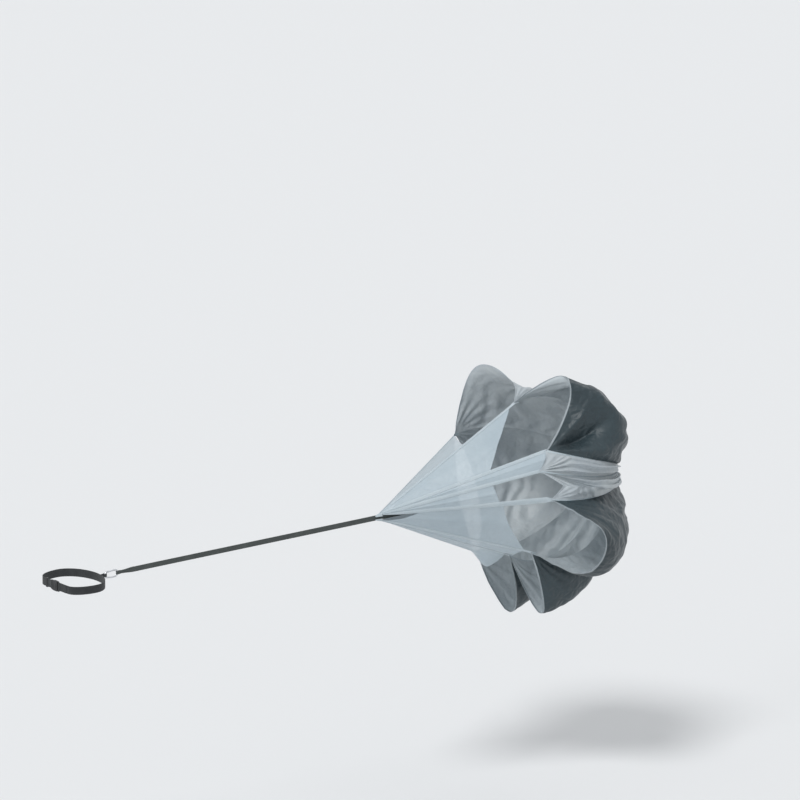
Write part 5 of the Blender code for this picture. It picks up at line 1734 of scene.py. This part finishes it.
@dataclass
class SnapHook:
    """The spring snap hook: its bent bar, its gate and the pin."""

    finishes: Finishes
    front_x: float = 0.1728
    rear_x: float = 0.2158
    front_radius: float = 0.013
    rear_radius: float = 0.016
    bar: float = 0.004
    bow: float = 0.0015
    pin_from_arc: float = 0.0055
    nose: float = 0.0050
    tongue: float = 0.0030
    tongue_fit: float = 0.0003
    clearance: float = 0.0003
    end_gap: float = 0.0005
    overrun: float = 0.002
    stop_wall: float = 0.0014
    pin_radius: float = 0.0012
    head_radius: float = 0.0019
    head: float = 0.0006
    bore_radius: float = 0.0021
    bore_depth: float = 0.017
    knuckle_share: float = 0.96

    def __post_init__(self) -> None:
        """Work out the gate's line from the two end arcs."""
        self.slope = math.asin((self.rear_radius - self.front_radius) / (self.rear_x - self.front_x))
        angle = math.pi / 2.0 + self.slope
        way = Vector((math.cos(angle), 0.0, math.sin(angle)))
        self.arc_start = Vector((self.front_x, 0.0, 0.0)) + way * self.front_radius
        self.shoulder = Vector((self.rear_x, 0.0, 0.0)) + way * self.rear_radius
        self.direction = (self.shoulder - self.arc_start).normalized()
        self.normal = Vector((-self.direction.z, 0.0, self.direction.x))
        self.pin = self.arc_start + self.direction * self.pin_from_arc

    def build(self) -> None:
        """Build the hook's pieces."""
        self.body()
        self.gate()
        self.rivet()
        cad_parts["gate_spring"].material_slots[0].material = self.finishes.plated

    def body(self) -> None:
        """Bend the bar round its two arcs and cut its hinge and nose tongues."""
        bpy.ops.mesh.primitive_circle_add(vertices=40, radius=self.bar, fill_type="NGON", location=self.pin,
                                          rotation=(0.0, math.pi / 2.0 - math.atan2(self.direction.z,
                                                                                   self.direction.x), 0.0))
        piece = Bench.settle("hook_bar")
        Bench.pick_faces(piece, lambda centre, normal: True)
        self.draw(-self.direction * self.pin_from_arc)
        sweep = math.pi - 2.0 * self.slope
        self.bend(sweep, self.front_x, 36)
        low = math.pi * 1.5 - self.slope
        first = Vector((self.front_x + self.front_radius * math.cos(low), 0.0,
                        self.front_radius * math.sin(low)))
        last = Vector((self.rear_x + self.rear_radius * math.cos(low), 0.0,
                       self.rear_radius * math.sin(low)))
        steps = 14
        before = first
        for step in range(1, steps + 1):
            share = step / steps
            point = first.lerp(last, share)
            point.z -= self.bow * math.sin(math.pi * share)
            self.draw(point - before)
            before = point
        self.bend(math.pi + 2.0 * self.slope, self.rear_x, 40)
        self.draw(-self.direction * self.nose)
        bpy.ops.mesh.select_all(action="SELECT")
        bpy.ops.mesh.remove_doubles(threshold=0.00001)
        bpy.ops.mesh.normals_make_consistent(inside=False)
        Bench.close_edit()
        self.cut_tongues(piece)
        Bench.round_edges(piece, 0.00035, 2)
        Bench.dress(piece, self.finishes.plated, Body.HOOK, "metal", "hook_body")

    @staticmethod
    def draw(step: Vector) -> None:
        """Draw the selected end of the bar out by a step."""
        bpy.ops.mesh.extrude_region_move(TRANSFORM_OT_translate={"value": step})

    @staticmethod
    def bend(sweep: float, centre_x: float, steps: int) -> None:
        """Bend the selected end of the bar round a centre on the hook's axis."""
        bpy.ops.mesh.spin(steps=steps, angle=sweep, center=(centre_x, 0.0, 0.0), axis=(0.0, 1.0, 0.0))

    def knuckle(self, piece: Piece, half: float) -> None:
        """Join a round knuckle on at the pin."""
        reach = Vector((0.0, half, 0.0))
        Bench.carve(piece, Bench.rod("knuckle", self.bar, self.pin - reach, self.pin + reach, 64), "UNION")

    def pin_hole(self, piece: Piece) -> None:
        """Bore a piece for the pin."""
        reach = Vector((0.0, 2.0 * self.bar, 0.0))
        Bench.carve(piece, Bench.rod("hole_tool", self.pin_radius + self.clearance, self.pin - reach,
                                     self.pin + reach, 40))

    def cut_tongues(self, piece: Piece) -> None:
        """Flatten the bar at its pin and its nose, and bore it for the pin.

        Args:
            piece: The bent bar.
        """
        full = 2.0 * self.bar
        start = self.pin - self.direction * (self.bar + self.end_gap)
        hinge, nose = full + self.overrun, self.nose + self.overrun
        for side in (-1.0, 1.0):
            offset = Vector((0.0, side * (self.tongue + full) / 2.0, 0.0))
            for middle, length in ((start + self.direction * hinge / 2.0, hinge),
                                   (self.shoulder - self.direction * nose / 2.0, nose)):
                tool = Bench.slab("flat_tool", middle + offset, self.direction, (length, full, full * 1.5))
                Bench.carve(piece, tool)
        self.knuckle(piece, self.tongue / 2.0)
        relief = self.stop_wall + self.clearance
        middle = (self.shoulder - self.direction * nose / 2.0
                  - self.normal * (self.bar - relief / 2.0 + self.overrun / 2.0))
        Bench.carve(piece, Bench.slab("relief_tool", middle, self.direction,
                                      (nose, full * 1.5, relief + self.overrun)))
        self.pin_hole(piece)

    def gate(self) -> None:
        """Turn the gate, slot it for both tongues and bore it for its spring."""
        full = 2.0 * self.bar
        end = self.shoulder - self.direction * self.end_gap
        piece = Bench.rod("hook_gate_bar", self.bar, self.pin, end, 56)
        self.knuckle(piece, self.bar * self.knuckle_share)
        slot = self.tongue + 2.0 * self.tongue_fit
        back = self.pin - self.direction * self.bar
        length = full + self.end_gap + self.overrun
        middle = back + self.direction * (length / 2.0 - self.overrun)
        Bench.carve(piece, Bench.slab("slot_tool", middle, self.direction, (length, slot, full * 1.5)))
        nose = self.nose + self.overrun
        middle = (self.shoulder - self.direction * (nose / 2.0 + self.clearance - self.overrun / 2.0)
                  + self.normal * (self.stop_wall / 2.0 + self.overrun / 2.0))
        Bench.carve(piece, Bench.slab("slot_tool", middle, self.direction,
                                      (nose + self.overrun, slot, full - self.stop_wall + self.overrun)))
        Bench.carve(piece, Bench.rod("bore_tool", self.bore_radius, back,
                                     self.pin + self.direction * self.bore_depth, 32))
        self.pin_hole(piece)
        Bench.round_edges(piece, 0.00025, 2)
        Bench.dress(piece, self.finishes.plated, Body.GATE, "metal", "hook_gate")

    def rivet(self) -> None:
        """Turn the pin and head it on both sides."""
        half = Vector((0.0, self.bar + self.clearance, 0.0))
        piece = Bench.rod("gate_rivet", self.pin_radius, self.pin - half, self.pin + half, 40)
        for side in (-1.0, 1.0):
            inner = self.pin + half * side
            outer = inner + Vector((0.0, side * self.head, 0.0))
            Bench.carve(piece, Bench.rod("rivet_head", self.head_radius, inner, outer, 40), "UNION")
        Bench.round_edges(piece, 0.00022, 3)
        Bench.dress(piece, self.finishes.plated, Body.HOOK, "metal", "gate_pin")


# Waist belt


@dataclass
class WaistBelt:
    """The waist belt, the slider on its free tail and the keeper loop on its back."""

    finishes: Finishes
    half_depth: float = 0.115
    half_width: float = 0.155
    front_flat: float = 0.092
    webbing: float = 0.038
    thickness: float = 0.0016
    sewn_tail: float = 0.040
    free_tail: float = 0.052
    flare: float = 0.014
    corner: float = 0.55
    clearance: float = 0.0003
    socket_bar_y: float = -0.0265
    plug_bar_y: float = 0.0278
    bar_width: float = 0.0040
    keeper_width: float = 0.015
    keeper_thickness: float = 0.0015
    keeper_foot: float = 0.022
    keeper_eye: float = 0.0066
    keeper_flare: float = 0.020
    keeper_bend: float = 0.0022
    hook_axis_x: float = 0.162
    slider_y: float = 0.066
    slider_length: float = 0.012
    slider_wall: float = 0.0022
    slider_fit: float = 0.0004

    def build(self) -> None:
        """Build the belt's pieces."""
        plan = self.run()
        strap = Strap("waist_webbing", plan, [self.webbing / 2.0] * len(plan), self.thickness, 17)
        strap.sew(self.finishes.belt, "belt_webbing", "buckle_socket")
        self.keeper()
        self.slider()
        self.stitching()

    def eye_radius(self) -> float:
        """Return the radius of the webbing's middle round a buckle bar."""
        return self.bar_width / 2.0 + self.clearance + self.thickness / 2.0

    def seam_x(self, offset: float) -> float:
        """Return the X of a ply beside the belt's front seam line."""
        return -self.half_depth - (self.thickness + self.clearance) / 2.0 + offset

    def run(self) -> list[Vector]:
        """Return the belt's plan, from its sewn tail round the waist to its free tail.

        Returns:
            The points.
        """
        back = [Vector((self.half_depth * math.cos(angle), self.half_width * math.sin(angle)))
                for angle in np.linspace(-math.pi / 2.0, math.pi / 2.0, 97)[1:-1]]
        first = self.end(self.socket_bar_y, -1.0, self.sewn_tail)
        last = self.end(self.plug_bar_y, 1.0, self.free_tail)
        return first + self.side(-1.0) + back + self.side(1.0)[::-1] + last[::-1]

    def end(self, bar_y: float, side: float, tail: float) -> list[Vector]:
        """Return one end of the belt, from its tail round the buckle bar to the main ply.

        Args:
            bar_y: Where the bar is.
            side: Which way the belt leaves it along Y.
            tail: The length of the tail past the flare.

        Returns:
            The points.
        """
        ply = (self.thickness + self.clearance) / 2.0
        radius = self.eye_radius()
        bar_x = -self.half_depth - radius
        lift = self.seam_x(0.0) - bar_x
        flare_y = bar_y + side * self.flare
        path = [Vector((self.seam_x(-ply), flare_y + side * tail * (1.0 - step / 10.0)))
                for step in range(11)]
        near, far = Vector((self.flare, ply - lift)), Vector((self.flare, -lift - ply))
        start = math.atan2(near.y, near.x) + math.acos(radius / near.length)
        stop = math.atan2(far.y, far.x) - math.acos(radius / far.length)
        for index in range(33):
            angle = start + (2.0 * math.pi - start + stop) * index / 32.0
            path.append(Vector((bar_x - radius * math.sin(angle), bar_y + side * radius * math.cos(angle))))
        path.append(Vector((self.seam_x(ply), flare_y)))
        return path

    def side(self, side: float) -> list[Vector]:
        """Return the belt's run from its flat front to its widest point, on one side.

        Args:
            side: 1 on the side of +Y, -1 on the other.

        Returns:
            The points.
        """
        start = Vector((-self.half_depth, side * self.front_flat))
        end = Vector((0.0, side * self.half_width))
        out = start + Vector((0.0, side * (self.half_width - self.front_flat) * self.corner))
        back = end - Vector((self.half_depth * self.corner, 0.0))
        return [bezier(share, start, out, back, end) for share in np.linspace(0.0, 1.0, 41)]

    def back_x(self, y: float) -> float:
        """Return the X of the belt's middle at a Y on its back."""
        return self.half_depth * math.sqrt(1.0 - (y / self.half_width) ** 2)

    def keeper(self) -> None:
        """Model the short loop that is sewn to the belt and holds the snap hook."""
        seat = (self.thickness + self.keeper_thickness) / 2.0 + self.clearance
        ply = (self.keeper_thickness + self.clearance) / 2.0
        radius = self.keeper_eye + self.keeper_thickness / 2.0
        stem = self.back_x(0.0) + seat + self.keeper_bend
        reach = self.hook_axis_x - self.keeper_flare - stem
        loop = eye_path((self.hook_axis_x, 0.0), -1.0, radius, ply, self.keeper_flare, reach)
        feet = []
        for index in range(13):
            y = ply + self.keeper_bend + self.keeper_foot * (1.0 - index / 12.0)
            feet.append(Vector((self.back_x(y) + seat, y)))
        plan = [Vector((point.x, -point.y)) for point in feet] + loop + feet[::-1]
        strap = Strap("keeper_webbing", plan, [self.keeper_width / 2.0] * len(plan), self.keeper_thickness)
        strap.sew(self.finishes.belt, "keeper_loop", "belt_webbing")

    def slider(self) -> None:
        """Model the moulded loop that holds the free tail."""
        stack = self.thickness + self.clearance / 2.0 + self.slider_fit
        opening = self.webbing / 2.0 + self.slider_fit
        middle, half, wall = self.seam_x(0.0), self.slider_length / 2.0, self.slider_wall
        piece = Bench.block("tail_loop", (middle - stack - wall, self.slider_y - half, -opening - wall),
                            (middle + stack + wall, self.slider_y + half, opening + wall))
        Bench.inset(piece, lambda centre, normal: normal.x < -0.9, (0.0022, 0.0), (0.0008, -0.0005))
        tool = Bench.block("loop_tool", (middle - stack, self.slider_y - half - 0.002, -opening),
                           (middle + stack, self.slider_y + half + 0.002, opening))
        Bench.carve(piece, tool)
        Bench.round_edges(piece, 0.00045, 3)
        Bench.dress(piece, self.finishes.acetal, Body.SLIDER, "plastic", "tail_slider")

    def stitching(self) -> None:
        """Sew the belt's fixed tail, the keeper's feet and its stem."""
        belt = Thread("belt_stitches")
        front = self.seam_x(-(self.thickness + self.clearance) / 2.0) - self.thickness / 2.0
        start = self.socket_bar_y - self.flare - 0.004
        inner = self.seam_x((self.thickness + self.clearance) / 2.0) + self.thickness / 2.0
        for face, way in ((front, -1.0), (inner, 1.0)):
            belt.boxed_cross((face, start, -0.0145), (0.0, -0.031, 0.0), (0.0, 0.0, 0.029), (way, 0.0, 0.0))
        ply = (self.keeper_thickness + self.clearance) / 2.0 + self.keeper_thickness / 2.0
        for side in (-1.0, 1.0):
            for offset in (0.0055, 0.0105, 0.0155, 0.0205):
                y = side * (ply + self.keeper_bend + offset)
                x = self.back_x(y) + self.thickness / 2.0 + self.clearance + self.keeper_thickness
                belt.line((x, y, -0.0056), (x, y, 0.0056), (1.0, 0.0, 0.0))
            for x in (0.1285, 0.1325):
                belt.line((x, side * ply, -0.0056), (x, side * ply, 0.0056), (0.0, side, 0.0))
        belt.build(self.finishes.black_thread, Body.BELT)


@dataclass
class Buckle:
    """The side-release buckle: socket, plug and the two arms that snap into the socket."""

    finishes: Finishes
    bar_x: float = -0.1181
    width: float = 0.048
    thickness: float = 0.012
    wall: float = 0.002
    edge: float = 0.0015
    bar_width: float = 0.0040
    slot: float = 0.0060
    mouth_y: float = 0.012
    cavity: float = 0.028
    back_wall: float = 0.0025
    side_wall: float = 0.0035
    window: float = 0.0125
    window_from_mouth: float = 0.0100
    plug_base: float = 0.0075
    collar_step: float = 0.0010
    blade_width: float = 0.0080
    blade_length: float = 0.020
    blade_thickness: float = 0.0045
    arm_thickness: float = 0.0030
    arm_depth: float = 0.0060
    barb_depth: float = 0.0024
    barb_length: float = 0.0100
    root_swell: float = 1.04
    webbing: float = 0.038
    clearance: float = 0.0003
    overrun: float = 0.002

    def build(self) -> None:
        """Build the buckle's pieces."""
        self.socket()
        self.plug()
        self.arm("buckle_arm_upper", Side.UPPER, Body.ARM_UPPER)
        self.arm("buckle_arm_lower", Side.LOWER, Body.ARM_LOWER)

    @staticmethod
    def broad_face(centre: Vector, normal: Vector) -> bool:
        """Tell whether a face is on the buckle's front or back."""
        return abs(normal.x) > 0.99

    def webbing_bar(self, piece: Piece, body_end: float, bar_y: float, way: float,
                    half_z: float) -> None:
        """Add two side rails and the round bar that the belt wraps.

        Args:
            piece: The buckle half.
            body_end: Where its body ends.
            bar_y: Where the bar is.
            way: Which way the rails reach along Y.
            half_z: Half of the half's width.
        """
        half = self.bar_width / 2.0
        far = bar_y + way * half
        low, high = sorted((body_end - way * self.edge, far))
        rails = Bench.block("rails", (self.bar_x - half, low, -half_z), (self.bar_x + half, high, half_z))
        Bench.apply(rails, "BEVEL", width=half * 0.6, segments=4)
        Bench.carve(piece, rails, "UNION")
        slot = self.webbing / 2.0 + self.clearance
        low, high = sorted((body_end, far + way * self.overrun))
        Bench.carve(piece, Bench.block("slot_tool", (self.bar_x - half - self.overrun, low, -slot),
                                       (self.bar_x + half + self.overrun, high, slot)))
        reach = (slot + half_z) / 2.0
        rod = Bench.rod("webbing_bar", half, Vector((self.bar_x, bar_y, -reach)),
                        Vector((self.bar_x, bar_y, reach)), 40)
        Bench.carve(piece, rod, "UNION")

    def socket(self) -> None:
        """Model the open-mouthed sleeve, with a sunk panel on its face and its two side windows."""
        half_x, half_z = self.thickness / 2.0, self.width / 2.0
        end = self.mouth_y - self.cavity
        piece = Bench.block("socket_shell", (self.bar_x - half_x, end - self.back_wall, -half_z),
                            (self.bar_x + half_x, self.mouth_y, half_z))
        Bench.apply(piece, "BEVEL", width=self.edge, segments=4)
        Bench.inset(piece, self.broad_face, (0.0032, 0.0), (0.0007, -0.0010), (0.0060, 0.0),
                    (0.0006, 0.0007))
        self.webbing_bar(piece, end - self.back_wall,
                         end - self.back_wall - self.slot - self.bar_width / 2.0, -1.0, half_z)
        inner = half_z - self.side_wall
        Bench.carve(piece, Bench.block("cavity_tool", (self.bar_x - half_x + self.wall, end, -inner),
                                       (self.bar_x + half_x - self.wall, self.mouth_y + self.overrun, inner)))
        start, half = self.mouth_y - self.window_from_mouth, self.arm_depth / 2.0 + self.clearance
        Bench.carve(piece, Bench.block("window_tool", (self.bar_x - half, start - self.window,
                                                       -half_z - self.overrun),
                                       (self.bar_x + half, start, half_z + self.overrun)))
        Bench.round_edges(piece, 0.00028, 2)
        Bench.dress(piece, self.finishes.acetal, Body.BELT, "plastic", "buckle_socket")

    def plug(self) -> None:
        """Model the collar, the guide blade with its groove and the webbing bar."""
        half_x, half_z = self.thickness / 2.0 - self.collar_step, self.width / 2.0 - self.collar_step
        start = self.mouth_y + self.clearance
        end = start + self.plug_base
        piece = Bench.block("plug_collar", (self.bar_x - half_x, start, -half_z),
                            (self.bar_x + half_x, end, half_z))
        Bench.apply(piece, "BEVEL", width=self.edge, segments=4)
        Bench.inset(piece, self.broad_face, (0.0014, 0.0), (0.0004, -0.0004))
        self.webbing_bar(piece, end, end + self.slot + self.bar_width / 2.0, 1.0, half_z)
        half = self.blade_thickness / 2.0
        blade = Bench.block("plug_blade", (self.bar_x - half, start - self.blade_length,
                                           -self.blade_width / 2.0),
                            (self.bar_x + half, start + self.edge, self.blade_width / 2.0))
        Bench.apply(blade, "BEVEL", width=half / 2.0, segments=3)
        Bench.inset(blade, self.broad_face, (0.0012, -0.0006))
        Bench.carve(piece, blade, "UNION")
        Bench.round_edges(piece, 0.00025, 2)
        Bench.dress(piece, self.finishes.acetal, Body.BELT, "plastic", "buckle_plug")

    def arm(self, node: str, side: Side, body: Body) -> None:
        """Model one springy arm: a block drawn out from its round root to its barb, with grip ribs.

        Args:
            node: The CAD node that it stands for.
            side: Which arm it is.
            body: The body that it rides on.
        """
        inner = self.width / 2.0 - self.side_wall - self.clearance
        rear = self.mouth_y - self.window_from_mouth - self.clearance
        front = rear - self.barb_length
        out = inner - self.clearance
        low, top = out - self.arm_thickness, inner + self.barb_depth
        half = self.arm_depth / 2.0
        radius = self.arm_thickness / 2.0
        root_y = self.mouth_y - radius
        leaf = Bench.block(node + "_leaf", (self.bar_x - half, rear, low), (self.bar_x + half, root_y, out))
        barb = Bench.block("barb", (self.bar_x - half, front, low - self.arm_thickness * 0.3),
                           (self.bar_x + half, rear, top))
        Bench.pick_faces(barb, lambda centre, normal: normal.y < -0.9)
        bpy.ops.transform.translate(value=(0.0, self.barb_length * 0.55, 0.0))
        bpy.ops.mesh.extrude_region_move(
            TRANSFORM_OT_translate={"value": (0.0, -self.barb_length * 0.55, 0.0)})
        height = top - low + self.arm_thickness * 0.3
        tip = out - self.arm_thickness * 0.2 - (low - self.arm_thickness * 0.4)
        middle = (out - self.arm_thickness * 0.2 + low - self.arm_thickness * 0.4) / 2.0
        now = (top + low - self.arm_thickness * 0.3) / 2.0
        bpy.ops.transform.resize(value=(1.0, 1.0, tip / height), center_override=(self.bar_x, front, now))
        bpy.ops.transform.translate(value=(0.0, 0.0, middle - now))
        Bench.close_edit()
        Bench.carve(leaf, barb, "UNION")
        for place in (0.0012, 0.0026):
            rib = Bench.block("rib_tool", (self.bar_x - half - 0.001, rear - place - 0.0005, top - 0.0004),
                              (self.bar_x + half + 0.001, rear - place, top + 0.001))
            Bench.carve(leaf, rib)
        if side is Side.LOWER:
            Bench.only(leaf)
            leaf.scale.z = -1.0
            bpy.ops.object.transform_apply(scale=True)
            bpy.ops.object.mode_set(mode="EDIT")
            bpy.ops.mesh.select_all(action="SELECT")
            bpy.ops.mesh.normals_make_consistent(inside=False)
            Bench.close_edit()
        Bench.round_edges(leaf, 0.00025, 2)
        root = Vector((self.bar_x, root_y, side.value * (low + radius)))
        reach = Vector((half, 0.0, 0.0))
        rod = Bench.rod("root", radius * self.root_swell, root - reach, root + reach, 40)
        Bench.carve(leaf, rod, "UNION")
        mark_sharp(leaf, 30.0)
        Bench.dress(leaf, self.finishes.acetal, body, "plastic", node)


# Studio


@dataclass
class Studio:
    """The pale floor, the soft lights and the camera at the photograph's angle."""

    floor_z: float = -1.42
    apex: tuple[float, float, float] = (1.7378, 0.0, 0.0)
    azimuth: float = -37.11
    elevation: float = 15.856
    distance: float = 90.0
    lens: float = 879.3
    aim_right: float = 0.0876
    aim_up: float = 0.5383
    pale: Colour = (0.80, 0.81, 0.82)
    floor_radius: float = 400.0
    floor_roughness: float = 0.9
    sky: Colour = (0.96, 0.98, 1.0)
    sky_light: float = 0.50
    sky_seen: float = 0.85

    def build(self) -> None:
        """Build the stage."""
        self.floor()
        self.world()
        self.lights()
        self.camera()

    def floor(self) -> None:
        """Lay the floor."""
        bpy.ops.mesh.primitive_circle_add(vertices=96, radius=self.floor_radius, fill_type="NGON",
                                          location=(1.5, 0.0, self.floor_z))
        floor = Bench.settle("studio_floor")
        recipe = Recipe("studio_floor")
        floor.data.materials.append(recipe.material)
        recipe.set(Base_Color=(*self.pale, 1.0), Roughness=self.floor_roughness,
                   Specular_IOR_Level=0.1)

    def world(self) -> None:
        """Set the pale light all round, brighter where the camera, gloss and glass see it."""
        world = bpy.data.worlds.new("studio_world")
        bpy.context.scene.world = world
        world.use_nodes = True
        tree = world.node_tree
        sky = tree.nodes["Background"]
        path, seen, glossy, level = (tree.nodes.new("ShaderNode" + kind)
                                     for kind in ("LightPath", "Math", "Math", "MapRange"))
        seen.operation = glossy.operation = "MAXIMUM"
        level.inputs["To Min"].default_value = self.sky_light
        level.inputs["To Max"].default_value = self.sky_seen
        for source, target in ((path.outputs["Is Camera Ray"], seen.inputs[0]),
                               (path.outputs["Is Glossy Ray"], glossy.inputs[0]),
                               (path.outputs["Is Transmission Ray"], glossy.inputs[1]),
                               (glossy.outputs[0], seen.inputs[1]),
                               (seen.outputs[0], level.inputs["Value"]),
                               (level.outputs[0], sky.inputs["Strength"])):
            tree.links.new(source, target)
        sky.inputs["Color"].default_value = (*self.sky, 1.0)

    def lights(self) -> None:
        """Hang a soft key light high on the left, a low one in front and a weaker one behind."""
        for name, azimuth, elevation, energy, angle in (("key_light", -62.0, 56.0, 1.35, 16.0),
                                                        ("fill_light", -84.0, 20.0, 0.55, 24.0),
                                                        ("rim_light", 120.0, 50.0, 0.45, 60.0)):
            lamp = bpy.data.lights.new(name, "SUN")
            lamp.energy = energy
            lamp.angle = math.radians(angle)
            light = add_object(name, lamp)
            light.rotation_mode = "QUATERNION"
            light.rotation_quaternion = (-self.back(azimuth, elevation)).to_track_quat("-Z", "Y")

    @staticmethod
    def back(azimuth: float, elevation: float) -> Vector:
        """Return the way back from the object at a view's angles, in degrees."""
        turn, rise = math.radians(azimuth), math.radians(elevation)
        return Vector((math.sin(turn) * math.cos(rise), -math.cos(turn) * math.cos(rise), math.sin(rise)))

    def camera(self) -> None:
        """Place the long-lens camera that frames the object as the photograph does."""
        back = self.back(self.azimuth, self.elevation)
        right = UP.cross(back).normalized()
        up = back.cross(right)
        aim = Vector(self.apex) + right * self.aim_right + up * self.aim_up
        data = bpy.data.cameras.new("studio_camera")
        data.lens = self.lens
        data.sensor_width = 36.0
        data.clip_end = 2000.0
        camera = add_object("studio_camera", data)
        camera.rotation_mode = "QUATERNION"
        camera.location = aim + back * self.distance
        camera.rotation_quaternion = (-back).to_track_quat("-Z", "Y")
        bpy.context.scene.camera = camera


def main() -> None:
    """Build the dressed parachute on its stage."""
    logging.basicConfig(level=logging.INFO, format="%(message)s")
    bpy.context.scene.view_settings.view_transform = "Standard"
    Studio().build()
    finishes = Finishes()
    form = CanopyForm()
    Canopy(form, finishes).build()
    Suspension(form, finishes).build()
    TowLine(finishes).build()
    SnapHook(finishes).build()
    WaistBelt(finishes).build()
    Buckle(finishes).build()


if __name__ == "__main__":
    main()
